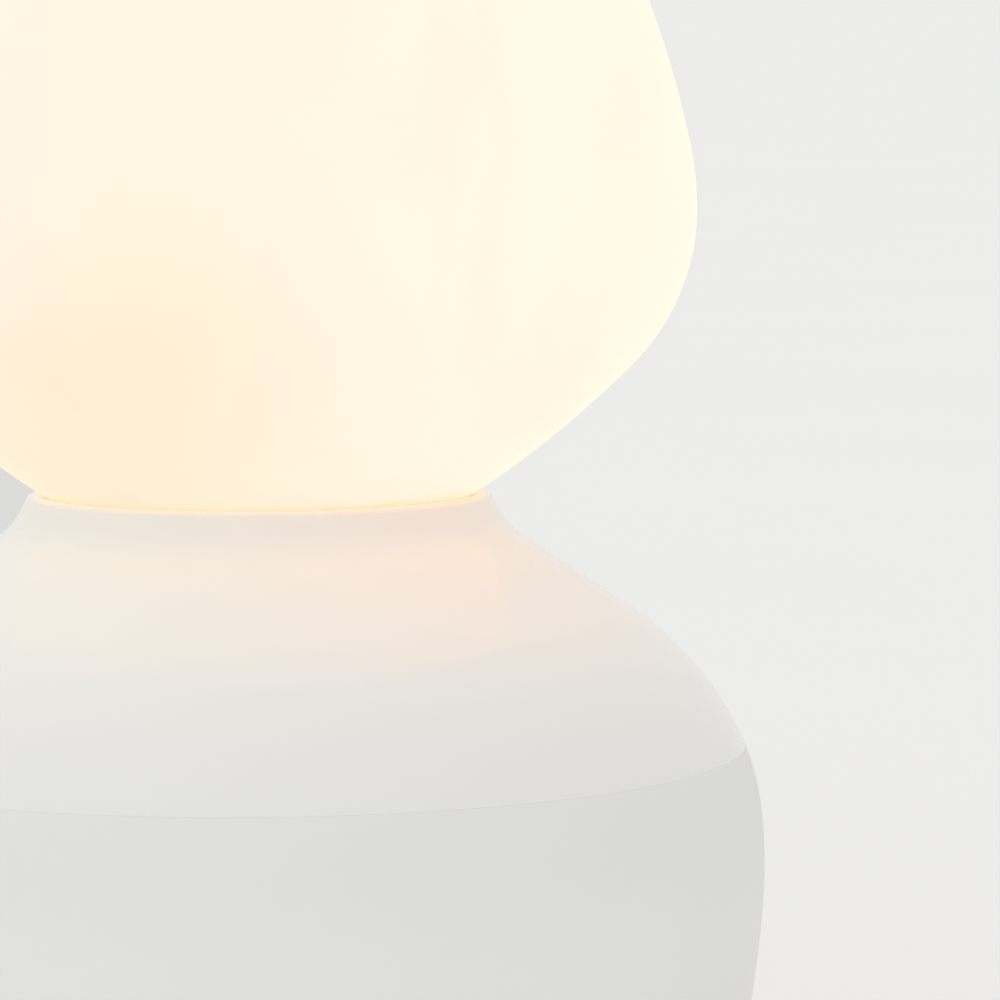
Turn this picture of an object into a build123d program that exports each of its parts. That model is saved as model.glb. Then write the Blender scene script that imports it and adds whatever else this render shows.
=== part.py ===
from build123d import *

import os
from math import acos, cos, degrees, radians, sin, sqrt

# Table lamp. An opal glass shade nests in the neck of a two-piece glazed base. A stepped metal gallery
# hangs in the neck, carries the shade and the lampholder, and is drawn down by a threaded tube that
# clamps the shoulder cover and the lower body between two nuts.
# Millimetres, +Z up, origin on the table under the centre of the foot, +Y towards the cord notch.

# Glazed base, outside
BASE_DIAMETER = 200.0
SIDE_RADIUS = 106.0
SIDE_TURN_UP = 5.0
SIDE_TURN_DOWN = 5.0
TAPER_RADIUS = 250.0
TAPER_TURN = 17.0
FOOT_ROUND = 14.0
RIM_ROUND_RADIUS = 52.0
RIM_ROUND_TURN = 16.5
SEAM_CREASE = 3.0
SHOULDER_RADIUS = 67.0
SHOULDER_SLOPE = 56.5
NECK_SWEEP_RADIUS = 15.0
NECK_SLOPE = 28.0
NECK_STRAIGHT = 3.0
LIP_DIAMETER = 88.4
LIP_ROUND = 2.0
BASE_WALL = 5.0
SEAM_EDGE_ROUND = 0.4

# Glazed base, inside and underneath
FLOOR_THICKNESS = 6.0
FOOT_RECESS_DIAMETER = 110.0
FOOT_RECESS_DEPTH = 9.0
CORD_NOTCH_WIDTH = 9.0
CORD_NOTCH_HEIGHT = 7.0
SPIGOT_WALL = 3.0
SPIGOT_DROP = 6.0
SPIGOT_RISE = 8.0
LEDGE_DEPTH = 5.0
LEDGE_WIDTH = 3.4
LEDGE_THICKNESS = 4.0

# Opal glass shade
SHADE_DIAMETER = 173.0
CROWN_FLANK_RADIUS = 200.0
CROWN_FLANK_TURN = 18.0
CHEEK_RADIUS = 62.0
CHEEK_TURN = 12.0
BELLY_RADIUS = 43.0
BELLY_TURN = 45.0
UNDERSIDE_RADIUS = 200.0
FITTER_SWEEP = 3.0
GLASS_WALL = 3.0
FITTER_EDGE_ROUND = 0.8

# Gallery and soft rings
GALLERY_SHEET = 1.0
GALLERY_STEP_DROP = 13.0
GALLERY_DEPTH = 46.0
GALLERY_BEND = 1.0
GALLERY_FLOOR_BEND = 3.0
SEAT_THICKNESS = 2.0
SEAT_EDGE = 0.4
STEP_MARGIN = 1.0
BAND_HEIGHT = 3.0
BAND_THICKNESS = 1.1
PAD_THICKNESS = 2.0
PAD_WIDTH = 11.0
PAD_INSET = 2.0

# Clamping column
TUBE_DIAMETER = 10.0
TUBE_BORE = 8.0
NUT_ACROSS_FLATS = 16.0
NUT_HEIGHT = 5.0
NUT_CHAMFER_ANGLE = 30.0
TUBE_END = 1.5
SPREAD_WASHER_DIAMETER = 36.0
SPREAD_WASHER_THICKNESS = 1.5
LOCK_WASHER_DIAMETER = 19.0
LOCK_WASHER_THICKNESS = 1.0
LOCK_TEETH = 10
LOCK_TOOTH_SLOT = 1.6
LOCK_TOOTH_DEPTH = 2.2
BALLAST_DIAMETER = 124.0
BALLAST_THICKNESS = 5.0
BALLAST_EDGE = 1.0
BUSHING_BORE = 6.4
BUSHING_BARREL = 8.0
BUSHING_FLANGE = 1.5

# Screw lampholder
HOLDER_DIAMETER = 38.0
HOLDER_HEIGHT = 54.0
HOLDER_BOSS_DIAMETER = 18.0
HOLDER_BOSS_HEIGHT = 5.0
HOLDER_CAP_HEIGHT = 26.0
HOLDER_CAP_WALL = 1.8
HOLDER_ENTRY_DEPTH = 8.0
TUBE_IN_HOLDER = 7.5
INSERT_SEAT = 15.0
INSERT_THICKNESS = 6.0
INSERT_SEAT_WIDTH = 1.7
SKIRT_BORE = 31.2
SKIRT_LIP_BORE = 28.8
SKIRT_LIP_HEIGHT = 2.0
SKIRT_SPIGOT_WALL = 1.6
SKIRT_RIB_COUNT = 24
SKIRT_RIB_DEPTH = 0.5
SKIRT_RIB_LOW = 4.0
SKIRT_RIB_HIGH = 18.0
LINER_BORE = 27.4
LINER_SHEET = 0.5
LINER_TOP_GAP = 1.0
CONTACT_RISE = 5.0
CONTACT_SHEET = 0.5
CONTACT_WIDTH = 6.0
CONTACT_FOOT = 5.0
CONTACT_RAMP = 4.0
CONTACT_PAD = 7.0
TERMINAL_OFFSET = 10.5
TERMINAL_CLAMP = (4.5, 6.0, 4.0)
TERMINAL_SCREW_DIAMETER = 3.0
TERMINAL_HEAD_DIAMETER = 3.6
TERMINAL_HEAD_HEIGHT = 1.4
TERMINAL_SHANK = 3.0
WIRE_HOLE_DIAMETER = 4.0
WIRE_HOLE_OFFSET = 9.0
GRUB_DIAMETER = 3.0
GRUB_LENGTH = 5.0
GRUB_SLOT = 0.8
GRUB_SLOT_DEPTH = 1.2

# Screw-cap bulb
BULB_DIAMETER = 60.0
BULB_LENGTH = 108.0
BULB_CAP_DIAMETER = 26.4
BULB_CAP_LENGTH = 21.0
BULB_CAP_SHEET = 0.4
BULB_INSULATOR_HEIGHT = 4.5
BULB_INSULATOR_DIAMETER = 12.0
BULB_TIP_DIAMETER = 9.6
BULB_TIP_HEIGHT = 1.5
BULB_COLLAR_DIAMETER = 28.0
BULB_COLLAR_HEIGHT = 3.0
BULB_HOUSING_HEIGHT = 30.0
BULB_HOUSING_FLARE = 60.0
BULB_HOUSING_WALL = 1.5
BULB_GLOBE_WALL = 1.2
LED_BOARD_THICKNESS = 1.6
LED_BOARD_GAP = 2.0
LED_COUNT = 12
LED_SIZE = 2.8
LED_HEIGHT = 0.7
LED_CIRCLE = 32.0
DRIVER_BOARD = (14.0, 1.2, 24.0)

# Clearances
RUNNING_GAP = 0.35
SHEET_GAP = 0.5
THREAD_GAP = 0.05
HOLE_GAP = 0.3
SPIGOT_GAP = 0.5
SLIDE_GAP = 0.1

LEFT, RIGHT = 1, -1
UP, DOWN = 90.0, -90.0
REACH = 2 * (BASE_DIAMETER + SHADE_DIAMETER)


# Outlines and sections in the (radius, height) plane

def follow(start, heading, steps, inset=0.0, inside=LEFT):
    """Edges of an outline that leaves start at heading degrees.

    Each step is (size, turn): an arc of radius size through turn degrees, positive to the left, or a
    straight line of length size where turn is 0. inset moves the whole outline that far towards its
    inside, so the same steps also give the inner face of a wall.
    """
    x = start[0] - inside * inset * sin(radians(heading))
    y = start[1] + inside * inset * cos(radians(heading))
    edges = []
    for size, turn in steps:
        tangent = (cos(radians(heading)), sin(radians(heading)))
        if turn:
            curls_inwards = inside if turn > 0 else -inside
            edge = JernArc((x, y), tangent, size - curls_inwards * inset, turn)
        else:
            edge = Line((x, y), (x + size * tangent[0], y + size * tangent[1]))
        edges.append(edge)
        heading += turn
        end = edge @ 1
        x, y = end.X, end.Y
    return edges


def travel(steps, heading):
    """How far an outline moves in radius and height while it follows steps from heading."""
    along_r = along_z = 0.0
    for size, turn in steps:
        before, after = radians(heading), radians(heading + turn)
        if turn:
            side = LEFT if turn > 0 else RIGHT
            along_r += side * size * (sin(after) - sin(before))
            along_z += side * size * (cos(before) - cos(after))
        else:
            along_r += size * cos(before)
            along_z += size * sin(before)
        heading += turn
    return along_r, along_z


def ends(edges):
    """First and last point of a run of edges, as (radius, height) pairs."""
    first, last = edges[0] @ 0, edges[-1] @ 1
    return (first.X, first.Y), (last.X, last.Y)


def closed(edges, *corners):
    """Face bounded by a run of edges and by straight lines back through corners to its start."""
    first, last = ends(edges)
    return make_face([*edges, *Polyline(last, *corners, first).edges()])


def ring(inner, outer, low, high):
    """Rectangular section between two radii and two heights."""
    return Pos((inner + outer) / 2, (low + high) / 2) * Rectangle(outer - inner, high - low)


def rounded(section, radius, *corners):
    """Section with the named corners rounded."""
    picked = [section.vertices().sort_by_distance(corner)[0] for corner in corners]
    return fillet(picked, radius)


def turned(section):
    """Solid of revolution of a section about the lamp's axis."""
    return revolve(Plane.XZ * section, Axis.Z)


# Glazed base: the outline runs both ways from its widest ring

BASE_RADIUS = BASE_DIAMETER / 2
BODY_UP = [(SIDE_RADIUS, SIDE_TURN_UP), (RIM_ROUND_RADIUS, RIM_ROUND_TURN)]
FOOT_TURN = 90.0 - SIDE_TURN_DOWN - TAPER_TURN
BODY_DOWN = [(SIDE_RADIUS, -SIDE_TURN_DOWN), (TAPER_RADIUS, -TAPER_TURN), (FOOT_ROUND, -FOOT_TURN)]
FOOT_Z = PAD_THICKNESS
WIDEST_Z = FOOT_Z - travel(BODY_DOWN, DOWN)[1]
SEAM_RADIUS = BASE_RADIUS + travel(BODY_UP, UP)[0]
SEAM_Z = WIDEST_Z + travel(BODY_UP, UP)[1]
SEAM_SLOPE = SIDE_TURN_UP + RIM_ROUND_TURN
FLOOR_LOW = FOOT_Z + FOOT_RECESS_DEPTH
FLOOR_TOP = FLOOR_LOW + FLOOR_THICKNESS

SHOULDER_HEADING = UP + SEAM_SLOPE + SEAM_CREASE
SHOULDER_ARC = (SHOULDER_RADIUS, SHOULDER_SLOPE - SEAM_SLOPE - SEAM_CREASE)
NECK_STEPS = [(NECK_SWEEP_RADIUS, NECK_SLOPE - SHOULDER_SLOPE), (NECK_STRAIGHT, 0.0)]
LIP_RADIUS = LIP_DIAMETER / 2
NECK_BORE = LIP_RADIUS - LIP_ROUND
LIP_EDGE_RADIUS = LIP_RADIUS + LIP_ROUND * cos(radians(NECK_SLOPE))
# The straight slope between the shoulder and the neck is as long as the two radii leave room for.
SLOPE_START = SEAM_RADIUS + travel([SHOULDER_ARC], SHOULDER_HEADING)[0]
SLOPE_END = LIP_EDGE_RADIUS - travel(NECK_STEPS, UP + SHOULDER_SLOPE)[0]
SLOPE_LENGTH = (SLOPE_START - SLOPE_END) / sin(radians(SHOULDER_SLOPE))
SHOULDER_STEPS = [SHOULDER_ARC, (SLOPE_LENGTH, 0.0), *NECK_STEPS]
LIP_STEP = (LIP_ROUND, 180.0 - NECK_SLOPE)
LIP_CENTRE_Z = SEAM_Z + travel(SHOULDER_STEPS, SHOULDER_HEADING)[1] - LIP_ROUND * sin(radians(NECK_SLOPE))
LIP_Z = LIP_CENTRE_Z + LIP_ROUND
LEDGE_TOP = LIP_Z - LEDGE_DEPTH
LEDGE_LOW = LEDGE_TOP - LEDGE_THICKNESS
LEDGE_BORE = NECK_BORE - LEDGE_WIDTH
LEDGE_ROUND = GALLERY_BEND + SHEET_GAP


def body_bore_at_rim():
    """Radius of the lower body's inner face where it meets the seam plane."""
    (_, _), (radius, height) = ends(follow((BASE_RADIUS, WIDEST_Z), UP, BODY_UP, BASE_WALL))
    return radius - (SEAM_Z - height) * sin(radians(SEAM_SLOPE)) / cos(radians(SEAM_SLOPE))


SPIGOT_RADIUS = body_bore_at_rim() - SPIGOT_GAP


def lower_body():
    """Incurved glazed bowl with a floor, a foot ring and a notch for the cord."""
    widest = (BASE_RADIUS, WIDEST_Z)
    rising = closed(follow(widest, UP, BODY_UP), (0, SEAM_Z), (0, WIDEST_Z))
    falling = closed(follow(widest, DOWN, BODY_DOWN, inside=RIGHT), (0, FOOT_Z), (0, WIDEST_Z))
    # The inner face runs on straight past the seam plane, so that the bowl is open at its rim.
    past_rim = [*BODY_UP, (2 * BASE_WALL, 0.0)]
    upper_edges = follow(widest, UP, past_rim, BASE_WALL)
    lower_edges = follow(widest, DOWN, BODY_DOWN, BASE_WALL, RIGHT)
    upper_hollow = closed(upper_edges, (0, ends(upper_edges)[1][1]), (0, WIDEST_Z))
    lower_hollow = closed(lower_edges, (0, ends(lower_edges)[1][1]), (0, WIDEST_Z))
    hollow = (upper_hollow + lower_hollow) & ring(0, REACH, FLOOR_TOP, REACH)
    recess = ring(0, FOOT_RECESS_DIAMETER / 2, FOOT_Z, FLOOR_LOW)
    tube_hole = ring(0, TUBE_DIAMETER / 2 + HOLE_GAP, FOOT_Z, FLOOR_TOP)
    section = rising + falling - hollow - recess - tube_hole
    section = rounded(section, SEAM_EDGE_ROUND, (SEAM_RADIUS, SEAM_Z))
    return turned(section) - cord_notch()


def cord_notch():
    """Arched slot through the rear of the foot ring and the pad under it."""
    half = CORD_NOTCH_WIDTH / 2
    top = FOOT_Z + CORD_NOTCH_HEIGHT
    sides = Polyline((-half, top - half), (-half, -FOOT_Z), (half, -FOOT_Z), (half, top - half))
    arch = make_face([*sides.edges(), CenterArc((0, top - half), half, 0, 180)])
    return extrude(Plane.XZ * arch, -BASE_RADIUS)


def shoulder_cover():
    """Glazed cover that carries the outline from the seam up to the rounded lip of the neck."""
    seam = (SEAM_RADIUS, SEAM_Z)
    outer = follow(seam, SHOULDER_HEADING, [*SHOULDER_STEPS, LIP_STEP])
    solid = closed(outer, (NECK_BORE, LEDGE_TOP), (LEDGE_BORE, LEDGE_TOP), (LEDGE_BORE, SEAM_Z))
    inner = follow(seam, SHOULDER_HEADING, SHOULDER_STEPS, BASE_WALL)
    first, last = ends(inner)
    hollow = closed(inner, (0, last[1]), (0, first[1]))
    hollow = hollow & ring(0, REACH, SEAM_Z, LEDGE_LOW)
    spigot = ring(SPIGOT_RADIUS - SPIGOT_WALL, SPIGOT_RADIUS, SEAM_Z - SPIGOT_DROP, SEAM_Z + SPIGOT_RISE)
    section = solid - hollow
    section = rounded(section, SEAM_EDGE_ROUND, seam)
    section = rounded(section, LEDGE_ROUND, (LEDGE_BORE, LEDGE_TOP))
    return turned(section + spigot)


def seam_band():
    """Silicone band on the cover's spigot, which centres it in the lower body."""
    inner = SPIGOT_RADIUS + SLIDE_GAP
    low = SEAM_Z - SPIGOT_DROP
    return turned(ring(inner, inner + BAND_THICKNESS, low, low + BAND_HEIGHT))


def foot_pad():
    """Felt ring under the foot, open at the cord notch."""
    foot_edge = BASE_RADIUS + travel(BODY_DOWN, DOWN)[0]
    outer = foot_edge - PAD_INSET
    return turned(ring(outer - PAD_WIDTH, outer, 0, PAD_THICKNESS)) - cord_notch()


# Clamping column: threaded tube, nuts, washers, ballast and cord bushing

TUBE_RADIUS = TUBE_DIAMETER / 2
BALLAST_TOP = FLOOR_TOP + BALLAST_THICKNESS
SPREAD_WASHER_LOW = FLOOR_LOW - SPREAD_WASHER_THICKNESS
LOWER_NUT_LOW = SPREAD_WASHER_LOW - NUT_HEIGHT
TUBE_LOW = LOWER_NUT_LOW - TUBE_END
GALLERY_FLOOR = LEDGE_TOP - GALLERY_DEPTH
LOCK_WASHER_LOW = GALLERY_FLOOR + GALLERY_SHEET
GALLERY_NUT_LOW = LOCK_WASHER_LOW + LOCK_WASHER_THICKNESS
HOLDER_Z = GALLERY_NUT_LOW + NUT_HEIGHT


def tie_tube():
    """Hollow steel tube from below the floor up into the lampholder; the cord runs through it."""
    return turned(ring(TUBE_BORE / 2, TUBE_RADIUS, TUBE_LOW, HOLDER_Z + TUBE_IN_HOLDER))


def hex_nut(low):
    """Hexagon nut on the tube with both faces chamfered."""
    corner = NUT_ACROSS_FLATS / 2 / cos(radians(30))
    rise = (corner - NUT_ACROSS_FLATS / 2) * sin(radians(NUT_CHAMFER_ANGLE)) / cos(radians(NUT_CHAMFER_ANGLE))
    flat = NUT_ACROSS_FLATS / 2
    inner = TUBE_RADIUS + THREAD_GAP
    high = low + NUT_HEIGHT
    outline = Polyline(
        (inner, low), (flat, low), (corner, low + rise), (corner, high - rise), (flat, high), (inner, high),
        close=True,
    )
    prism = Pos(0, 0, low) * extrude(RegularPolygon(corner, 6), NUT_HEIGHT)
    return turned(make_face(outline)) & prism


def hex_nuts():
    """The three identical nuts: under the floor, on the ballast plate and in the gallery."""
    return Compound(children=[hex_nut(low) for low in (LOWER_NUT_LOW, BALLAST_TOP, GALLERY_NUT_LOW)])


def ballast_plate():
    """Steel disc on the floor of the lower body, which keeps the lamp upright."""
    edge = BALLAST_DIAMETER / 2
    section = ring(TUBE_RADIUS + HOLE_GAP, edge, FLOOR_TOP, BALLAST_TOP)
    return turned(rounded(section, BALLAST_EDGE, (edge, BALLAST_TOP)))


def spread_washer():
    """Wide washer that spreads the lower nut's pull over the glazed floor."""
    return turned(ring(TUBE_RADIUS + HOLE_GAP, SPREAD_WASHER_DIAMETER / 2, SPREAD_WASHER_LOW, FLOOR_LOW))


def lock_washer():
    """Toothed washer under the gallery nut."""
    outer = LOCK_WASHER_DIAMETER / 2
    washer = turned(ring(TUBE_RADIUS + HOLE_GAP, outer, LOCK_WASHER_LOW, GALLERY_NUT_LOW))
    slot = Pos(outer, 0, LOCK_WASHER_LOW + LOCK_WASHER_THICKNESS / 2) * Box(
        2 * LOCK_TOOTH_DEPTH, LOCK_TOOTH_SLOT, 2 * LOCK_WASHER_THICKNESS
    )
    for tooth in range(LOCK_TEETH):
        washer -= Rot(0, 0, tooth * 360 / LOCK_TEETH) * slot
    return washer


def cord_bushing():
    """Flanged plastic bushing in the lower end of the tube, where the cord enters."""
    bore = BUSHING_BORE / 2
    barrel = ring(bore, TUBE_BORE / 2 - SLIDE_GAP, TUBE_LOW, TUBE_LOW + BUSHING_BARREL)
    flange = ring(bore, TUBE_RADIUS, TUBE_LOW - BUSHING_FLANGE, TUBE_LOW)
    return turned(barrel + flange)


# Gallery, its seat ring and the shade

GALLERY_WALL_OUTER = LEDGE_BORE - SHEET_GAP
GALLERY_WALL_INNER = GALLERY_WALL_OUTER - GALLERY_SHEET
FITTER_OUTER = GALLERY_WALL_INNER - SHEET_GAP
FITTER_INNER = FITTER_OUTER - GLASS_WALL
STEP_LOW = LEDGE_TOP - GALLERY_STEP_DROP
STEP_TOP = STEP_LOW + GALLERY_SHEET
SEAT_TOP = STEP_TOP + SEAT_THICKNESS
LOWER_WALL_OUTER = FITTER_INNER - STEP_MARGIN
LOWER_WALL_INNER = LOWER_WALL_OUTER - GALLERY_SHEET


def gallery():
    """Spun metal pan: a flange on the neck's ledge, a step for the shade and a floor for the lampholder."""
    rim = NECK_BORE - SHEET_GAP
    hole = TUBE_RADIUS + HOLE_GAP
    tight, wide = GALLERY_BEND, GALLERY_BEND + GALLERY_SHEET
    outside = FilletPolyline(
        (rim, LEDGE_TOP), (GALLERY_WALL_OUTER, LEDGE_TOP), (GALLERY_WALL_OUTER, STEP_LOW),
        (LOWER_WALL_OUTER, STEP_LOW), (LOWER_WALL_OUTER, GALLERY_FLOOR), (hole, GALLERY_FLOOR),
        radius=[tight, wide, tight, GALLERY_FLOOR_BEND + GALLERY_SHEET],
    )
    inside = FilletPolyline(
        (rim, LEDGE_TOP + GALLERY_SHEET), (GALLERY_WALL_INNER, LEDGE_TOP + GALLERY_SHEET),
        (GALLERY_WALL_INNER, STEP_TOP), (LOWER_WALL_INNER, STEP_TOP),
        (LOWER_WALL_INNER, LOCK_WASHER_LOW), (hole, LOCK_WASHER_LOW),
        radius=[wide, tight, wide, GALLERY_FLOOR_BEND],
    )
    joins = [Line(outside @ 0, inside @ 0), Line(outside @ 1, inside @ 1)]
    return turned(make_face([*outside.edges(), *inside.edges(), *joins]))


def seat_ring():
    """Silicone ring on the gallery's step, under the foot of the shade."""
    inner, outer = LOWER_WALL_OUTER + SHEET_GAP, GALLERY_WALL_INNER - GALLERY_BEND
    section = ring(inner, outer, STEP_TOP, SEAT_TOP)
    corners = [(inner, STEP_TOP), (inner, SEAT_TOP), (outer, STEP_TOP), (outer, SEAT_TOP)]
    return turned(rounded(section, SEAT_EDGE, *corners))


SHADE_RADIUS = SHADE_DIAMETER / 2
# The underside turns until a small sweep carries it straight down into the fitter.
UNDERSIDE_CENTRE_R = SHADE_RADIUS - BELLY_RADIUS - (UNDERSIDE_RADIUS - BELLY_RADIUS) * cos(radians(BELLY_TURN))
FITTER_ANGLE = degrees(acos((FITTER_OUTER + FITTER_SWEEP - UNDERSIDE_CENTRE_R) / (UNDERSIDE_RADIUS + FITTER_SWEEP)))
# The shade's height is set by its running gap to the rounded lip.
LIP_REACH = UNDERSIDE_RADIUS + LIP_ROUND + RUNNING_GAP
UNDERSIDE_CENTRE_Z = LIP_CENTRE_Z + sqrt(LIP_REACH**2 - (LIP_RADIUS - UNDERSIDE_CENTRE_R) ** 2)
SHADE_WIDEST_Z = UNDERSIDE_CENTRE_Z - (UNDERSIDE_RADIUS - BELLY_RADIUS) * sin(radians(BELLY_TURN))
SHADE_DOWN = [
    (BELLY_RADIUS, -BELLY_TURN), (UNDERSIDE_RADIUS, BELLY_TURN - FITTER_ANGLE), (FITTER_SWEEP, FITTER_ANGLE),
]
FITTER_TOP = SHADE_WIDEST_Z + travel(SHADE_DOWN, DOWN)[1]
FITTER_LENGTH = FITTER_TOP - SEAT_TOP
SHADE_UP = [(CHEEK_RADIUS, CHEEK_TURN), (CROWN_FLANK_RADIUS, CROWN_FLANK_TURN)]
CROWN_SLOPE = CHEEK_TURN + CROWN_FLANK_TURN
CROWN_RADIUS = (SHADE_RADIUS + travel(SHADE_UP, UP)[0]) / cos(radians(CROWN_SLOPE))
SHADE_STEPS_UP = [*SHADE_UP, (CROWN_RADIUS, 90.0 - CROWN_SLOPE)]


def shade_profile(inset):
    """Half section enclosed by the shade's outer face, or by its inner face where inset is the wall."""
    widest = (SHADE_RADIUS, SHADE_WIDEST_Z)
    upper = follow(widest, UP, SHADE_STEPS_UP, inset)
    lower = follow(widest, DOWN, [*SHADE_DOWN, (FITTER_LENGTH, 0.0)], inset, RIGHT)
    return closed(upper, (0, SHADE_WIDEST_Z)) + closed(lower, (0, SEAT_TOP), (0, SHADE_WIDEST_Z))


def glass_shade():
    """Blown opal glass shade with a rounded crown and a short fitter that stands on the seat ring."""
    section = shade_profile(0) - shade_profile(GLASS_WALL)
    section = rounded(section, FITTER_EDGE_ROUND, (FITTER_OUTER, SEAT_TOP), (FITTER_INNER, SEAT_TOP))
    return turned(section)


# Lampholder

HOLDER_RADIUS = HOLDER_DIAMETER / 2
CAP_BORE = HOLDER_RADIUS - HOLDER_CAP_WALL
INSERT_LOW = HOLDER_Z + INSERT_SEAT
INSERT_TOP = INSERT_LOW + INSERT_THICKNESS
CAP_TOP = HOLDER_Z + HOLDER_CAP_HEIGHT
HOLDER_TOP = HOLDER_Z + HOLDER_HEIGHT
CONTACT_TOP = INSERT_TOP + CONTACT_RISE
GRUB_Z = HOLDER_Z + HOLDER_BOSS_HEIGHT / 2
SKIRT_SPIGOT_OUTER = CAP_BORE - SLIDE_GAP


def holder_dome(inset):
    """Half section enclosed by the lampholder cap's outer face, or by its inner face where inset is the wall."""
    boss = HOLDER_BOSS_DIAMETER / 2
    start = (boss, HOLDER_Z + HOLDER_BOSS_HEIGHT)
    dome_radius = HOLDER_RADIUS - boss
    edges = follow(start, 0.0, [(dome_radius, 90.0), (CAP_TOP - start[1] - dome_radius, 0.0)], inset)
    return closed(edges, (0, CAP_TOP), (0, start[1] + inset))


def holder_cap():
    """Lower dome of the lampholder, screwed on the tube and locked by a grub screw."""
    boss = HOLDER_BOSS_DIAMETER / 2
    solid = holder_dome(0) + ring(0, boss, HOLDER_Z, HOLDER_Z + HOLDER_BOSS_HEIGHT)
    entry = ring(0, TUBE_RADIUS + THREAD_GAP, HOLDER_Z, HOLDER_Z + HOLDER_ENTRY_DEPTH)
    wiring_space = holder_dome(HOLDER_CAP_WALL) & ring(
        0, CAP_BORE - INSERT_SEAT_WIDTH, HOLDER_Z + HOLDER_ENTRY_DEPTH, INSERT_LOW
    )
    socket = ring(0, CAP_BORE, INSERT_LOW, CAP_TOP)
    cap = turned(solid - entry - wiring_space - socket)
    grub_hole = Pos(0, 0, GRUB_Z) * Rot(-90, 0, 0) * Cylinder(
        GRUB_DIAMETER / 2 + THREAD_GAP, boss, align=(Align.CENTER, Align.CENTER, Align.MIN)
    )
    return cap - grub_hole


def holder_grub_screw():
    """Slotted grub screw through the cap's boss onto the tube."""
    screw = Rot(-90, 0, 0) * Cylinder(
        GRUB_DIAMETER / 2, GRUB_LENGTH, align=(Align.CENTER, Align.CENTER, Align.MIN)
    )
    slot = Pos(0, GRUB_LENGTH, 0) * Box(GRUB_SLOT, 2 * GRUB_SLOT_DEPTH, 2 * GRUB_DIAMETER)
    return Pos(0, TUBE_RADIUS + THREAD_GAP, GRUB_Z) * (screw - slot)


def holder_insert():
    """Ceramic disc that carries the contacts, with two wire holes."""
    disc = turned(ring(0, CAP_BORE - SLIDE_GAP, INSERT_LOW, INSERT_TOP))
    hole = Pos(0, 0, INSERT_LOW) * Cylinder(
        WIRE_HOLE_DIAMETER / 2, 3 * INSERT_THICKNESS, align=(Align.CENTER, Align.CENTER, Align.CENTER)
    )
    return disc - Pos(WIRE_HOLE_OFFSET, 0, 0) * hole - Pos(-WIRE_HOLE_OFFSET, 0, 0) * hole


def holder_skirt():
    """Upper shell of the lampholder: ribbed for grip, with a spigot in the cap and a lip over the liner."""
    bore = SKIRT_BORE / 2
    spigot = ring(SKIRT_SPIGOT_OUTER - SKIRT_SPIGOT_WALL, SKIRT_SPIGOT_OUTER, INSERT_TOP, CAP_TOP)
    wall = ring(bore, HOLDER_RADIUS, CAP_TOP, HOLDER_TOP)
    lip = ring(SKIRT_LIP_BORE / 2, bore, HOLDER_TOP - SKIRT_LIP_HEIGHT, HOLDER_TOP)
    skirt = turned(spigot + wall + lip)
    low, high = CAP_TOP + SKIRT_RIB_LOW, CAP_TOP + SKIRT_RIB_HIGH
    groove = Pos(HOLDER_RADIUS, 0, (low + high) / 2) * Cylinder(SKIRT_RIB_DEPTH, high - low)
    for index in range(SKIRT_RIB_COUNT):
        skirt -= Rot(0, 0, index * 360 / SKIRT_RIB_COUNT) * groove
    return skirt


def holder_liner():
    """Thin metal screw shell that takes the bulb's cap."""
    inner = LINER_BORE / 2
    top = HOLDER_TOP - SKIRT_LIP_HEIGHT - LINER_TOP_GAP
    return turned(ring(inner, inner + LINER_SHEET, INSERT_TOP, top))


def centre_contact():
    """Sprung brass tongue on the insert; its raised pad meets the bulb's tip."""
    foot_start = -CONTACT_PAD / 2 - CONTACT_RAMP - CONTACT_FOOT
    low, high = INSERT_TOP, CONTACT_TOP - CONTACT_SHEET
    under = [
        (foot_start, low), (foot_start + CONTACT_FOOT, low), (-CONTACT_PAD / 2, high), (CONTACT_PAD / 2, high),
    ]
    strip = Polyline(*under, *[(x, z + CONTACT_SHEET) for x, z in reversed(under)], close=True)
    return extrude(Plane.YZ * make_face(strip), CONTACT_WIDTH / 2, both=True)


def holder_terminals():
    """Two clamp blocks with screws under the insert, one for each conductor."""
    length, width, height = TERMINAL_CLAMP
    blocks = []
    for side in (-1, 1):
        block = Box(length, width, height, align=(Align.CENTER, Align.CENTER, Align.MAX))
        shank = Cylinder(TERMINAL_SCREW_DIAMETER / 2, TERMINAL_SHANK, align=(Align.CENTER, Align.CENTER, Align.MIN))
        head = Pos(0, 0, TERMINAL_SHANK) * Cylinder(
            TERMINAL_HEAD_DIAMETER / 2, TERMINAL_HEAD_HEIGHT, align=(Align.CENTER, Align.CENTER, Align.MIN)
        )
        # The screw lies across the block and clamps the wire from the axis side.
        screw = Pos(-side * length / 2, 0, -height / 2) * Rot(0, -side * 90, 0) * (shank + head)
        blocks.append(Pos(side * TERMINAL_OFFSET, 0, INSERT_LOW) * (block + screw))
    return Compound(children=blocks)


# Bulb

BULB_RADIUS = BULB_DIAMETER / 2
TIP_Z = CONTACT_TOP
INSULATOR_Z = TIP_Z + BULB_TIP_HEIGHT
BULB_CAP_Z = INSULATOR_Z + BULB_INSULATOR_HEIGHT
BULB_CAP_TOP = BULB_CAP_Z + BULB_CAP_LENGTH
COLLAR_TOP = BULB_CAP_TOP + BULB_COLLAR_HEIGHT
HOUSING_TOP = COLLAR_TOP + BULB_HOUSING_HEIGHT
BULB_TOP = TIP_Z + BULB_LENGTH
GLOBE_CENTRE_Z = BULB_TOP - BULB_RADIUS
HOUSING_EDGE = sqrt(BULB_RADIUS**2 - (GLOBE_CENTRE_Z - HOUSING_TOP) ** 2)


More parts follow.
